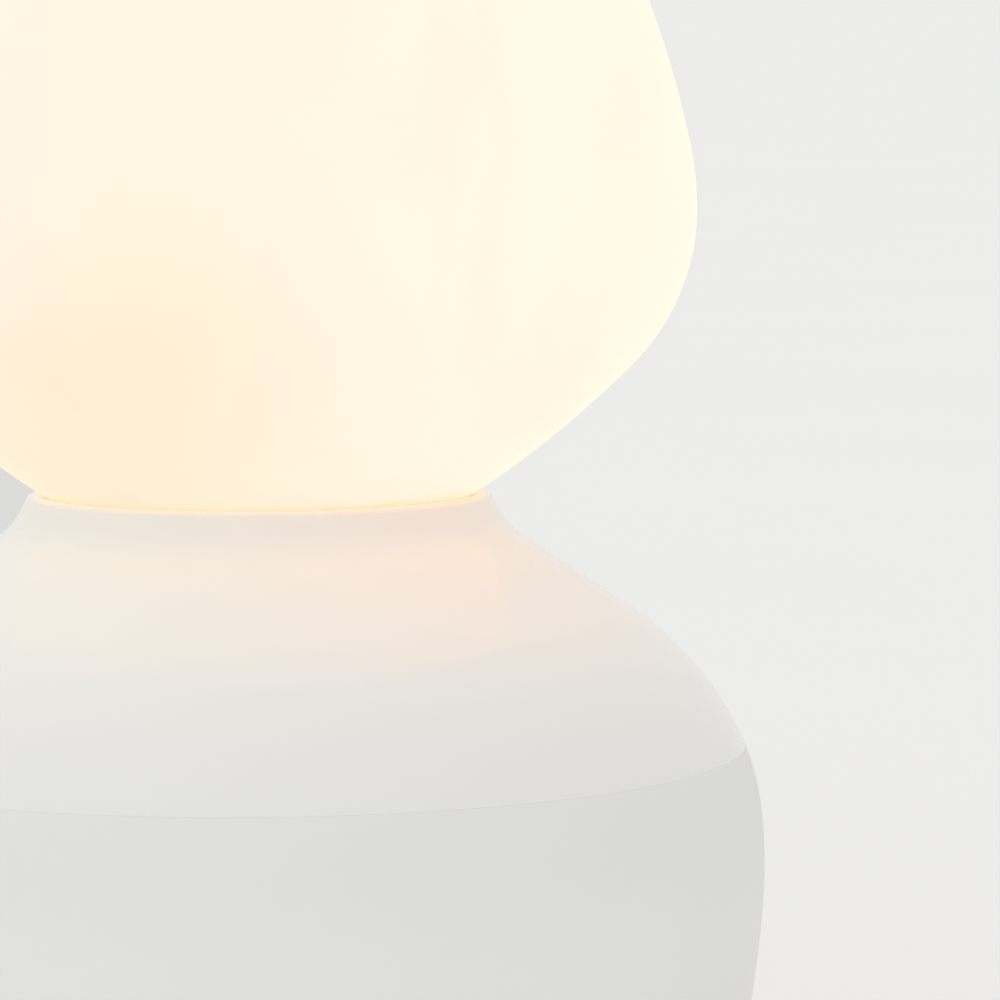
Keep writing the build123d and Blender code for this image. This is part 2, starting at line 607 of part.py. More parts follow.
def bulb_tip():
    """Rounded end contact."""
    radius = BULB_TIP_DIAMETER / 2
    section = ring(0, radius, TIP_Z, INSULATOR_Z)
    return turned(rounded(section, BULB_TIP_HEIGHT / 2, (radius, TIP_Z)))


def bulb_insulator():
    """Glass insulator cone between the end contact and the screw cap."""
    low, high = BULB_INSULATOR_DIAMETER / 2, BULB_CAP_DIAMETER / 2 - BULB_CAP_SHEET
    outline = Polyline((0, INSULATOR_Z), (low, INSULATOR_Z), (high, BULB_CAP_Z), (0, BULB_CAP_Z), close=True)
    return turned(make_face(outline))


def bulb_cap():
    """Screw cap: a thin metal cup, plain here at the diameter over its thread."""
    outer = BULB_CAP_DIAMETER / 2
    floor = ring(0, outer, BULB_CAP_Z, BULB_CAP_Z + BULB_CAP_SHEET)
    wall = ring(outer - BULB_CAP_SHEET, outer, BULB_CAP_Z, BULB_CAP_TOP)
    return turned(floor + wall)


def housing_section(inset):
    """Flared section of the bulb's housing, from its collar up to the globe."""
    collar = BULB_COLLAR_DIAMETER / 2 - inset
    top = HOUSING_EDGE - inset
    flare = RadiusArc((collar, COLLAR_TOP), (top, HOUSING_TOP), BULB_HOUSING_FLARE)
    walls = Polyline((top, HOUSING_TOP), (0, HOUSING_TOP), (0, BULB_CAP_TOP), (collar, BULB_CAP_TOP), (collar, COLLAR_TOP))
    return make_face([flare, *walls.edges()])


def bulb_housing():
    """Moulded housing between the cap and the globe."""
    return turned(housing_section(0) - housing_section(BULB_HOUSING_WALL))


def globe_section(radius):
    """Section of the ball of a given radius above the housing."""
    ball = Pos(0, GLOBE_CENTRE_Z) * Circle(radius)
    return ball & ring(0, REACH, HOUSING_TOP, REACH)


def bulb_globe():
    """Opal diffuser dome."""
    return turned(globe_section(BULB_RADIUS) - globe_section(BULB_RADIUS - BULB_GLOBE_WALL))


def led_board():
    """Round board with a ring of chips, at the top of the housing."""
    outer = HOUSING_EDGE - BULB_HOUSING_WALL - LED_BOARD_GAP
    board = turned(ring(0, outer, HOUSING_TOP - LED_BOARD_THICKNESS, HOUSING_TOP))
    for index in range(LED_COUNT):
        chip = Pos(LED_CIRCLE / 2, 0, HOUSING_TOP) * Box(
            LED_SIZE, LED_SIZE, LED_HEIGHT, align=(Align.CENTER, Align.CENTER, Align.MIN)
        )
        board += Rot(0, 0, index * 360 / LED_COUNT) * chip
    return board


def driver_board():
    """Upright driver board under the chip board."""
    top = HOUSING_TOP - LED_BOARD_THICKNESS
    return Pos(0, 0, top) * Box(*DRIVER_BOARD, align=(Align.CENTER, Align.CENTER, Align.MAX))


PIECES = {
    "lower_body": lower_body,
    "shoulder_cover": shoulder_cover,
    "seam_band": seam_band,
    "foot_pad": foot_pad,
    "tie_tube": tie_tube,
    "hex_nuts": hex_nuts,
    "spread_washer": spread_washer,
    "ballast_plate": ballast_plate,
    "cord_bushing": cord_bushing,
    "gallery": gallery,
    "seat_ring": seat_ring,
    "lock_washer": lock_washer,
    "holder_cap": holder_cap,
    "holder_grub_screw": holder_grub_screw,
    "holder_insert": holder_insert,
    "holder_skirt": holder_skirt,
    "holder_liner": holder_liner,
    "centre_contact": centre_contact,
    "holder_terminals": holder_terminals,
    "glass_shade": glass_shade,
    "bulb_globe": bulb_globe,
    "bulb_housing": bulb_housing,
    "bulb_cap": bulb_cap,
    "bulb_insulator": bulb_insulator,
    "bulb_tip": bulb_tip,
    "led_board": led_board,
    "driver_board": driver_board,
}

os.makedirs("parts", exist_ok=True)
for name, make in PIECES.items():
    export_step(make(), f"parts/{name}.step")
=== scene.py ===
import logging
from dataclasses import dataclass
from enum import Enum
from math import acos, atan, ceil, copysign, cos, degrees, pi, radians, sin, tan
from typing import Self

import bmesh
import bpy
from mathutils import Matrix, Vector


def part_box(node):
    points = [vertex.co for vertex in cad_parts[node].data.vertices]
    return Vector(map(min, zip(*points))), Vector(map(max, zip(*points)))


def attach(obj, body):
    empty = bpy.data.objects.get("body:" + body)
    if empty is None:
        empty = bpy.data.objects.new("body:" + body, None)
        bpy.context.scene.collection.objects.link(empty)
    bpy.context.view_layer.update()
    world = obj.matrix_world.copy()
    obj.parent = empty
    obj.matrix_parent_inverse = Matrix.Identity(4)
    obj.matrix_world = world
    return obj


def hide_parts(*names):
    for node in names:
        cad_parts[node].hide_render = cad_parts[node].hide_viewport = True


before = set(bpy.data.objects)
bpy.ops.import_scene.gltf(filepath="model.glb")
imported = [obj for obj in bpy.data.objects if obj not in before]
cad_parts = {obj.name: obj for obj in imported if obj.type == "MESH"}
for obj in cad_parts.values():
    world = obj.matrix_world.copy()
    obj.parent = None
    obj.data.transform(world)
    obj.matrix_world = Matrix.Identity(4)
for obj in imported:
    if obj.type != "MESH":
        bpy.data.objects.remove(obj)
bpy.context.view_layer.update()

Colour = tuple[float, float, float]
Triple = tuple[float, float, float]
Span = tuple[float, float]
Steps = list[tuple[float, float]]
Mesh = bmesh.types.BMesh
Edges = list[bmesh.types.BMEdge]
Socket = bpy.types.NodeSocket

LOG = logging.getLogger("table_lamp")
MM = 0.001
UP, DOWN, OUT, IN = 90.0, -90.0, 0.0, 180.0
AXIS = Vector((0.0, 0.0, 1.0))
LEFT_TURN_AXIS = Vector((0.0, -1.0, 0.0))
ORIGIN = (0.0, 0.0, 0.0)

# How finely round shapes are divided: turn in degrees, length in millimetres, and counts.
ARC_PIECE_TURN = 9.0
ARC_PIECE_LENGTH = 2.5
CORNER_PIECES = 4
FINE_SIDES = 192
PLAIN_SIDES = 160
THREAD_SIDES = 40

# Distances in millimetres at which points count as one, as level, or as on a cut.
MERGE_GAP = 0.002
THREAD_MERGE_GAP = 0.01
LEVEL_GAP = 0.01
CUT_GAP = 0.001

SHARP_EDGE = radians(38)
LOWEST_ROUGHNESS = 0.02
MIX_FACTOR, MIX_FIRST, MIX_SECOND, MIXED = 0, 6, 7, 2


class Body(Enum):
    """Bodies of the lamp that pieces ride on."""

    BASE = "base"
    SHADE = "shade"
    BULB = "bulb"


class Grain(Enum):
    """How the fine marks of a surface run."""

    EVEN = "even"
    TURNED = "turned"


class ThreadForm(Enum):
    """How a screw thread is made."""

    ROLLED = "rolled"
    CUT = "cut"


def travel(steps: Steps, heading: float) -> tuple[float, float]:
    """How far a run of steps goes.

    Args:
        steps: (radius, turn) for each arc and (length, 0) for each line.
        heading: direction of the first step in degrees.

    Returns:
        The distances gone in radius and in height.
    """
    radius = height = 0.0
    for size, turn in steps:
        start, stop = radians(heading), radians(heading + turn)
        if turn:
            radius += copysign(size, turn) * (sin(stop) - sin(start))
            height += copysign(size, turn) * (cos(start) - cos(stop))
        else:
            radius += size * cos(start)
            height += size * sin(start)
        heading += turn
    return radius, height


class Outline:
    """Half section in the plane of radius and height, drawn step by step in millimetres."""

    def __init__(self, radius: float, height: float, heading: float) -> None:
        """Start an outline.

        Args:
            radius: distance of the first point from the lamp's axis.
            height: height of the first point.
            heading: direction of the first step in degrees, 0 outwards and 90 upwards.
        """
        self.mesh = bmesh.new()
        self.first = self.mesh.verts.new((radius, 0.0, height))
        self.last = self.first
        self.heading = heading
        self.corners: list[tuple[bmesh.types.BMVert, float]] = []

    def face(self, heading: float) -> Self:
        """Turn on the spot to a new heading and return the outline."""
        self.heading = heading
        return self

    def line(self, length: float) -> Self:
        """Draw a straight line onwards.

        Args:
            length: how far the line runs.

        Returns:
            The outline itself.
        """
        grown = bmesh.ops.extrude_vert_indiv(self.mesh, verts=[self.last])
        self.last = grown["verts"][0]
        course = radians(self.heading)
        step = Vector((cos(course), 0.0, sin(course))) * length
        bmesh.ops.translate(self.mesh, verts=[self.last], vec=step)
        return self

    def line_to(self, radius: float, height: float) -> Self:
        """Draw a straight line to a point.

        Args:
            radius: radius of the point.
            height: height of the point.

        Returns:
            The outline itself, headed along the line.
        """
        step = Vector((radius, 0.0, height)) - self.last.co
        self.heading = degrees(Vector((1.0, 0.0)).angle_signed(Vector((step.x, -step.z))))
        return self.line(step.length)

    def arc(self, radius: float, turn: float) -> Self:
        """Draw a tangent arc.

        Args:
            radius: radius of the arc.
            turn: degrees that the heading turns, positive to the left.

        Returns:
            The outline itself.
        """
        course = radians(self.heading)
        side = Vector((-sin(course), 0.0, cos(course)))
        centre = self.last.co + side * copysign(radius, turn)
        swept = bmesh.ops.spin(
            self.mesh, geom=[self.last], cent=centre, axis=LEFT_TURN_AXIS, angle=radians(turn),
            steps=self.pieces_of(radius, turn), use_duplicate=False,
        )
        self.last = next(v for v in swept["geom_last"] if isinstance(v, bmesh.types.BMVert))
        self.heading += turn
        return self

    @staticmethod
    def pieces_of(radius: float, turn: float) -> int:
        """Number of straight pieces for an arc, from its length and its turn."""
        by_length = round(abs(radians(turn)) * radius / ARC_PIECE_LENGTH)
        return max(2, round(abs(turn) / ARC_PIECE_TURN), by_length)

    def follow(self, steps: Steps) -> Self:
        """Draw a run of steps.

        Args:
            steps: (radius, turn) for each arc and (length, 0) for each line.

        Returns:
            The outline itself.
        """
        for size, turn in steps:
            if turn:
                self.arc(size, turn)
            else:
                self.line(size)
        return self

    def line_to_height(self, height: float) -> Self:
        """Draw a straight line onwards as far as a height and return the outline."""
        return self.line((height - self.last.co.z) / sin(radians(self.heading)))

    def beads(self, count: int, size: float, gap: float) -> Self:
        """Draw a run with small round beads on its right.

        Args:
            count: number of beads.
            size: radius of a bead.
            gap: flat length before, between and after the beads.

        Returns:
            The outline itself.
        """
        along = self.heading
        for _ in range(count):
            self.line(gap).face(along - 90.0).arc(size, 180.0).face(along)
        return self.line(gap)

    def right_arc_to_height(self, radius: float, height: float) -> Self:
        """Draw a tangent arc to the right as far as a height.

        Args:
            radius: radius of the arc.
            height: height at which it stops.

        Returns:
            The outline itself.
        """
        start = radians(self.heading)
        level = cos(start) + (height - self.last.co.z) / radius
        stop = copysign(acos(level), start)
        return self.arc(radius, degrees(stop - start))

    def soften(self, radius: float, turn: float) -> Self:
        """Mark the last point to be rounded.

        Args:
            radius: radius of the rounding.
            turn: degrees between the two lines that meet there.

        Returns:
            The outline itself.
        """
        self.corners.append((self.last, radius * tan(radians(abs(turn)) / 2)))
        return self

    def close(self) -> Self:
        """Join the last point to the first and return the outline."""
        self.mesh.edges.new((self.last, self.first))
        return self

    def round_corners(self) -> None:
        """Round the marked points."""
        for corner, reach in self.corners:
            bmesh.ops.bevel(
                self.mesh, geom=[corner], offset=reach, offset_type="OFFSET",
                segments=CORNER_PIECES, profile=0.5, affect="VERTICES", material=-1,
            )

    def turned(self, sides: int = PLAIN_SIDES) -> Mesh:
        """Spin the outline about the lamp's axis.

        Args:
            sides: number of steps in the full turn.

        Returns:
            The turned mesh.
        """
        self.round_corners()
        bmesh.ops.spin(
            self.mesh, geom=self.mesh.verts[:] + self.mesh.edges[:], cent=ORIGIN, axis=AXIS,
            angle=2 * pi, steps=sides, use_merge=True, use_duplicate=False,
        )
        return self.mesh


@dataclass
class Thread:
    """A screw thread about the lamp's axis, in millimetres."""

    root: float
    crest: float
    pitch: float
    low: float
    high: float
    form: ThreadForm = ThreadForm.ROLLED
    sides: int = THREAD_SIDES

    def profile(self) -> Outline:
        """Draw one pitch of the thread, below its lower end.

        Returns:
            The outline.
        """
        outline = Outline(self.root, self.low - self.pitch, UP)
        if self.form is ThreadForm.CUT:
            outline.line_to(self.crest, self.low - self.pitch / 2)
            return outline.line_to(self.root, self.low)
        turn = 2 * degrees(atan(2 * (self.crest - self.root) / self.pitch))
        size = self.pitch / 4 / sin(radians(turn))
        return outline.follow([(size, -turn), (size, turn), (size, turn), (size, -turn)])

    def sheet(self) -> Mesh:
        """Wind the profile into a threaded sheet, cut level at both ends.

        Returns:
            The sheet.
        """
        mesh = self.profile().mesh
        turns = ceil((self.high - self.low) / self.pitch) + 2
        rise = (0.0, 0.0, self.pitch / self.sides)
        bmesh.ops.spin(
            mesh, geom=mesh.verts[:] + mesh.edges[:], cent=ORIGIN, axis=AXIS, dvec=rise,
            angle=2 * pi * turns, steps=turns * self.sides, use_duplicate=False,
        )
        bmesh.ops.remove_doubles(mesh, verts=mesh.verts, dist=THREAD_MERGE_GAP)
        for height, way in ((self.low, -1.0), (self.high, 1.0)):
            bmesh.ops.bisect_plane(
                mesh, geom=mesh.verts[:] + mesh.edges[:] + mesh.faces[:], dist=CUT_GAP,
                plane_co=(0.0, 0.0, height), plane_no=(0.0, 0.0, way), clear_outer=True,
            )
        return mesh


def rim(mesh: Mesh, height: float) -> Edges:
    """The open edges of a mesh at a height."""
    level = {v for v in mesh.verts if abs(v.co.z - height) < LEVEL_GAP}
    return [e for e in mesh.edges if e.is_boundary and level.issuperset(e.verts)]


def hoop(mesh: Mesh, radius: float, height: float, sides: int = THREAD_SIDES) -> Edges:
    """Add a level circle to a mesh.

    Args:
        mesh: the mesh.
        radius: radius of the circle.
        height: height of the circle.
        sides: number of its edges.

    Returns:
        The circle's edges.
    """
    level = Matrix.Translation((0.0, 0.0, height))
    made = bmesh.ops.create_circle(mesh, cap_ends=False, radius=radius, segments=sides, matrix=level)
    return list({e for v in made["verts"] for e in v.link_edges})


def bridge(mesh: Mesh, *loops: Edges) -> None:
    """Join each loop of edges to the next one by faces."""
    for first, second in zip(loops, loops[1:]):
        bmesh.ops.bridge_loops(mesh, edges=first + second)


def inset(steps: Steps, wall: float) -> Steps:
    """Steps of a wall's inner face, from those of its outer face drawn with the wall on the left.

    Args:
        steps: steps of the outer face.
        wall: thickness of the wall.

    Returns:
        The inner face's steps, in the same order.
    """
    return [(size - copysign(wall, turn) if turn else size, turn) for size, turn in steps]


def back(steps: Steps) -> Steps:
    """The same steps drawn the other way, from their end to their start."""
    return [(size, -turn) for size, turn in reversed(steps)]


def stored(mesh: Mesh, name: str) -> bpy.types.Mesh:
    """Turn a mesh's faces outwards and store it in metres.

    Args:
        mesh: the mesh in millimetres; it is used up.
        name: name to store it under.

    Returns:
        The stored mesh.
    """
    bmesh.ops.recalc_face_normals(mesh, faces=mesh.faces)
    bmesh.ops.scale(mesh, vec=(MM, MM, MM), verts=mesh.verts)
    data = bpy.data.meshes.new(name)
    mesh.to_mesh(data)
    mesh.free()
    return data


def put_in_scene(name: str, data: bpy.types.ID) -> bpy.types.Object:
    """Make an object of a mesh, light or camera and put it into the scene.

    Args:
        name: name of the object.
        data: the mesh, light or camera.

    Returns:
        The object.
    """
    made = bpy.data.objects.new(name, data)
    bpy.context.scene.collection.objects.link(made)
    return made


def piece(mesh: Mesh, name: str, body: Body, slot: str, *nodes: str) -> bpy.types.Object:
    """Make a finished mesh a piece of the lamp.

    Args:
        mesh: the mesh in millimetres, in its place.
        name: name of the piece.
        body: body that it rides on.
        slot: material slot that its finish belongs to; not used.
        nodes: solids that it stands for.

    Returns:
        The new object.
    """
    bmesh.ops.remove_doubles(mesh, verts=mesh.verts, dist=MERGE_GAP)
    data = stored(mesh, name)
    data.shade_smooth()
    data.set_sharp_from_angle(angle=SHARP_EDGE)
    made = put_in_scene(name, data)
    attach(made, body.value)
    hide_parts(*nodes)
    LOG.info("%s: %d faces", name, len(data.polygons))
    return made


def cut_away(target: bpy.types.Object, cutter: Mesh) -> None:
    """Cut a shape out of a piece.

    Args:
        target: the piece, whose mesh is replaced.
        cutter: closed mesh of what is taken away, in millimetres; it is used up.
    """
    shape = stored(cutter, "cutter")
    tool = put_in_scene("cutter", shape)
    cut = target.modifiers.new("cut", "BOOLEAN")
    cut.operation = "DIFFERENCE"
    cut.solver = "EXACT"
    cut.object = tool
    whole = target.data
    result = target.evaluated_get(bpy.context.evaluated_depsgraph_get())
    target.data = bpy.data.meshes.new_from_object(result)
    target.modifiers.clear()
    target.data.name = target.name
    target.data.set_sharp_from_angle(angle=SHARP_EDGE)
    bpy.data.meshes.remove(whole)
    bpy.data.objects.remove(tool)
    bpy.data.meshes.remove(shape)


class NodeSheet:
    """A node tree with one short call for adding a node and joining its inputs."""

    def __init__(self, tree: bpy.types.NodeTree) -> None:
        """Take up a node tree and clear it."""
        self.tree = tree
        self.tree.nodes.clear()

    def add(self, kind: str, inputs: dict | None = None, **settings: object) -> bpy.types.Node:
        """Add a node.

        Args:
            kind: the node's type, without its ShaderNode prefix.
            inputs: for each input's name or number, a value or the socket that feeds it.
            settings: the node's own properties.

        Returns:
            The node.
        """
        node = self.tree.nodes.new(kind if kind.startswith("NodeGroup") else "ShaderNode" + kind)
        for key, value in settings.items():
            setattr(node, key, value)
        for key, value in (inputs or {}).items():
            if isinstance(value, Socket):
                self.tree.links.new(value, node.inputs[key])
            else:
                node.inputs[key].default_value = value
        return node

    def blend(
        self, factor: float | Socket, first: Colour | Socket, second: Colour | Socket, mode: str = "MIX"
    ) -> Socket:
        """Mix two colours.

        Args:
            factor: share of the second colour, a number or a socket.
            first: first colour or its socket.
            second: second colour or its socket.
            mode: how the colours are mixed.

        Returns:
            The mixed colour's socket.
        """
        pair = [rgba(c) if isinstance(c, tuple) else c for c in (first, second)]
        inputs = {MIX_FACTOR: factor, MIX_FIRST: pair[0], MIX_SECOND: pair[1]}
        return self.add("Mix", inputs, data_type="RGBA", blend_type=mode).outputs[MIXED]

    def times(self, first: Socket, second: Socket) -> Socket:
        """The product of two values."""
        return self.add("Math", {0: first, 1: second}, operation="MULTIPLY").outputs[0]

    def spread(self, value: Socket, source: Span, target: Span) -> Socket:
        """Map a value from one range smoothly to another.

        Args:
            value: the value's socket.
            source: range that it comes in.
            target: range that it goes to.

        Returns:
            The mapped value's socket.
        """
        ends = {0: value, 1: source[0], 2: source[1], 3: target[0], 4: target[1]}
        return self.add("MapRange", ends, interpolation_type="SMOOTHSTEP").outputs[0]


class SurfaceSheet(NodeSheet):
    """Nodes of a material, with the place on the object at hand."""

    def __init__(self, tree: bpy.types.NodeTree) -> None:
        """Take up a material's node tree, clear it and read the object coordinates."""
        super().__init__(tree)
        self.place = self.add("TexCoord").outputs["Object"]

    def along(self) -> tuple[Socket, Socket, Socket]:
        """Sockets of the place to the right, to the rear and upwards."""
        return tuple(self.add("SeparateXYZ", {0: self.place}).outputs)


def rgba(colour: Colour) -> tuple[float, float, float, float]:
    """A colour with full alpha."""
    return (*colour, 1.0)


def new_group(name: str, inputs: dict[str, str], outputs: dict[str, str]) -> tuple[NodeSheet, dict, dict]:
    """Start a shader node group.

    Args:
        name: name of the group.
        inputs: socket type of each input.
        outputs: socket type of each output.

    Returns:
        The group's sheet, its input sockets and its output sockets.
    """
    tree = bpy.data.node_groups.new(name, "ShaderNodeTree")
    for way, sockets in (("INPUT", inputs), ("OUTPUT", outputs)):
        for label, kind in sockets.items():
            tree.interface.new_socket(name=label, in_out=way, socket_type="NodeSocket" + kind)
    sheet = NodeSheet(tree)
    start, end = sheet.add("NodeGroupInput"), sheet.add("NodeGroupOutput")
    return sheet, start.outputs, end.inputs


CLOUD_DETAIL = 3.0
CLOUD_RANGE = (0.3, 0.7)
MARK_DETAIL = {Grain.EVEN: 4.0, Grain.TURNED: 3.0}


def tone_drift_group() -> bpy.types.NodeTree:
    """Group that drifts between two tones in soft clouds.

    Returns:
        The node group, with the drifting colour and its mask as outputs.
    """
    sheet, given, asked = new_group(
        "tone drift",
        {"Vector": "Vector", "Tone": "Color", "Shade": "Color", "Scale": "Float", "Amount": "Float"},
        {"Color": "Color", "Mask": "Float"},
    )
    noise = {"Vector": given["Vector"], "Scale": given["Scale"], "Detail": CLOUD_DETAIL}
    mask = sheet.spread(sheet.add("TexNoise", noise).outputs[0], CLOUD_RANGE, (0.0, 1.0))
    share = sheet.times(mask, given["Amount"])
    sheet.tree.links.new(sheet.blend(share, given["Tone"], given["Shade"]), asked["Color"])
    sheet.tree.links.new(mask, asked["Mask"])
    return sheet.tree


def marks_group(grain: Grain) -> bpy.types.NodeTree:
    """Group of fine marks, even or in rings about the lamp's axis as a lathe leaves them.

    Args:
        grain: how the marks run.

    Returns:
        The node group, with a height as output.
    """
    sheet, given, asked = new_group(
        grain.value + " marks",
        {"Vector": "Vector", "Stretch": "Vector", "Scale": "Float"},
        {"Height": "Float"},
    )
    place = given["Vector"]
    if grain is Grain.TURNED:
        parts = sheet.add("SeparateXYZ", {0: place}).outputs
        flat = sheet.add("CombineXYZ", {0: parts[0], 1: parts[1]}).outputs[0]
        radius = sheet.add("VectorMath", {0: flat}, operation="LENGTH").outputs["Value"]
        place = sheet.add("CombineXYZ", {0: radius, 2: parts[2]}).outputs[0]
    drawn = sheet.add("VectorMath", {0: place, 1: given["Stretch"]}, operation="MULTIPLY")
    noise = {"Vector": drawn.outputs[0], "Scale": given["Scale"], "Detail": MARK_DETAIL[grain]}
    sheet.tree.links.new(sheet.add("TexNoise", noise).outputs[0], asked["Height"])
    return sheet.tree


TONE_DRIFT = tone_drift_group()
GRAINS = {grain: marks_group(grain) for grain in Grain}


@dataclass(frozen=True)
class Finish:
    """A finish with drifting tone, uneven gloss and fine marks."""

    name: str
    tone: Colour
    shade: Colour
    roughness: float = 0.4
    gloss_spread: float = 0.08
    metallic: float = 0.0
    coat: float = 0.0
    coat_roughness: float = 0.05
    shine: float = 0.5
    sheen: float = 0.0
    drift_scale: float = 40.0
    drift: float = 0.5
    grain: Grain = Grain.EVEN
    grain_scale: float = 900.0
    grain_stretch: Triple = (1.0, 1.0, 1.0)
    grain_depth: float = 0.00002

    def material(self) -> bpy.types.Material:
        """Build the finish as a material.

        Returns:
            The material.
        """
        made = bpy.data.materials.new(self.name)
        made.use_nodes = True
        sheet = SurfaceSheet(made.node_tree)
        clouds = {
            "Vector": sheet.place,
            "Tone": rgba(self.tone),
            "Shade": rgba(self.shade),
            "Scale": self.drift_scale,
            "Amount": self.drift,
        }
        drift = sheet.add("Group", clouds, node_tree=TONE_DRIFT)
        low, high = self.roughness - self.gloss_spread, self.roughness + self.gloss_spread
        gloss = sheet.spread(drift.outputs["Mask"], (0.0, 1.0), (max(low, LOWEST_ROUGHNESS), high))
        coat = {
            "Base Color": self.colour(sheet, drift.outputs["Color"]),
            "Roughness": gloss,
            "Metallic": self.metallic,
            "Specular IOR Level": self.shine,
            "Coat Weight": self.coat,
            "Coat Roughness": self.coat_roughness,
            "Sheen Weight": self.sheen,
            "Normal": self.relief(sheet),
        }
        shader = sheet.add("BsdfPrincipled", coat)
        self.light_up(sheet, shader)
        sheet.add("OutputMaterial", {"Surface": shader.outputs[0]})
        return made

    def colour(self, sheet: SurfaceSheet, drift: Socket) -> Socket:
        """The colour that reaches the shader: here the drifting tone as it is."""
        return drift

    def relief(self, sheet: SurfaceSheet) -> Socket:
        """Fine marks as a bump.

        Args:
            sheet: the material's nodes.

        Returns:
            The normal's socket.
        """
        course = {"Vector": sheet.place, "Stretch": self.grain_stretch, "Scale": self.grain_scale}
        marks = sheet.add("Group", course, node_tree=GRAINS[self.grain]).outputs["Height"]
        bump = {"Strength": 1.0, "Distance": self.grain_depth, "Height": marks}
        return sheet.add("Bump", bump).outputs[0]

    def light_up(self, sheet: SurfaceSheet, shader: bpy.types.Node) -> None:
        """Add light of the surface's own: none here."""


@dataclass(frozen=True)
class Glaze(Finish):
    """Poured off-white glaze: glossy, with slow waves from its flow, and painted paler towards the bottom
    as painted light.
    """

    wave_scale: float = 14.0
    wave_stretch: Triple = (1.0, 1.0, 1.4)
    wave_depth: float = 0.0009
    painted_light_high: float = 0.116
    painted_light_low: float = 0.078
    painted_light_gain: float = 1.0

    def colour(self, sheet: SurfaceSheet, drift: Socket) -> Socket:
        """Make the drifting tone paler towards the bottom, as painted light from below.

        Args:
            sheet: the material's nodes.
            drift: socket of the drifting tone.

        Returns:
            The colour's socket.
        """
        _, _, height = sheet.along()
        # Painted light: paler towards the bottom, for more light reaching the lower body from the floor.
        gain = sheet.spread(height, (self.painted_light_low, self.painted_light_high), (self.painted_light_gain, 1.0))
        grey = sheet.add("CombineXYZ", {0: gain, 1: gain, 2: gain}).outputs[0]
        return sheet.blend(1.0, drift, grey, "MULTIPLY")

    def relief(self, sheet: SurfaceSheet) -> Socket:
        """Fine marks on slow waves.

        Args:
            sheet: the material's nodes.

        Returns:
            The normal's socket.
        """
        fine = super().relief(sheet)
        course = {"Vector": sheet.place, "Stretch": self.wave_stretch, "Scale": self.wave_scale}
        waves = sheet.add("Group", course, node_tree=GRAINS[Grain.EVEN]).outputs["Height"]
        bump = {"Strength": 1.0, "Distance": self.wave_depth, "Height": waves, "Normal": fine}
        return sheet.add("Bump", bump).outputs[0]


@dataclass(frozen=True)
class FloorPaint(Finish):
    """Floor paint with painted shade, darker far behind the lamp on the left."""

    left_painted_shade: Colour = (0.75, 0.75, 0.74)
    across: Span = (-0.15, 0.15)
    behind: Span = (0.4, 1.4)

    def colour(self, sheet: SurfaceSheet, drift: Socket) -> Socket:
        """Blend the floor's tone into the painted shade.

        Args:
            sheet: the material's nodes.
            drift: socket of the drifting tone.

        Returns:
            The colour's socket.
        """
        across, behind, _ = sheet.along()
        leftwards = sheet.spread(across, self.across, (1.0, 0.0))
        far = sheet.spread(behind, self.behind, (0.0, 1.0))
        # Painted shade: the floor darkens far behind the lamp on the left.
        return sheet.blend(sheet.times(leftwards, far), drift, self.left_painted_shade)


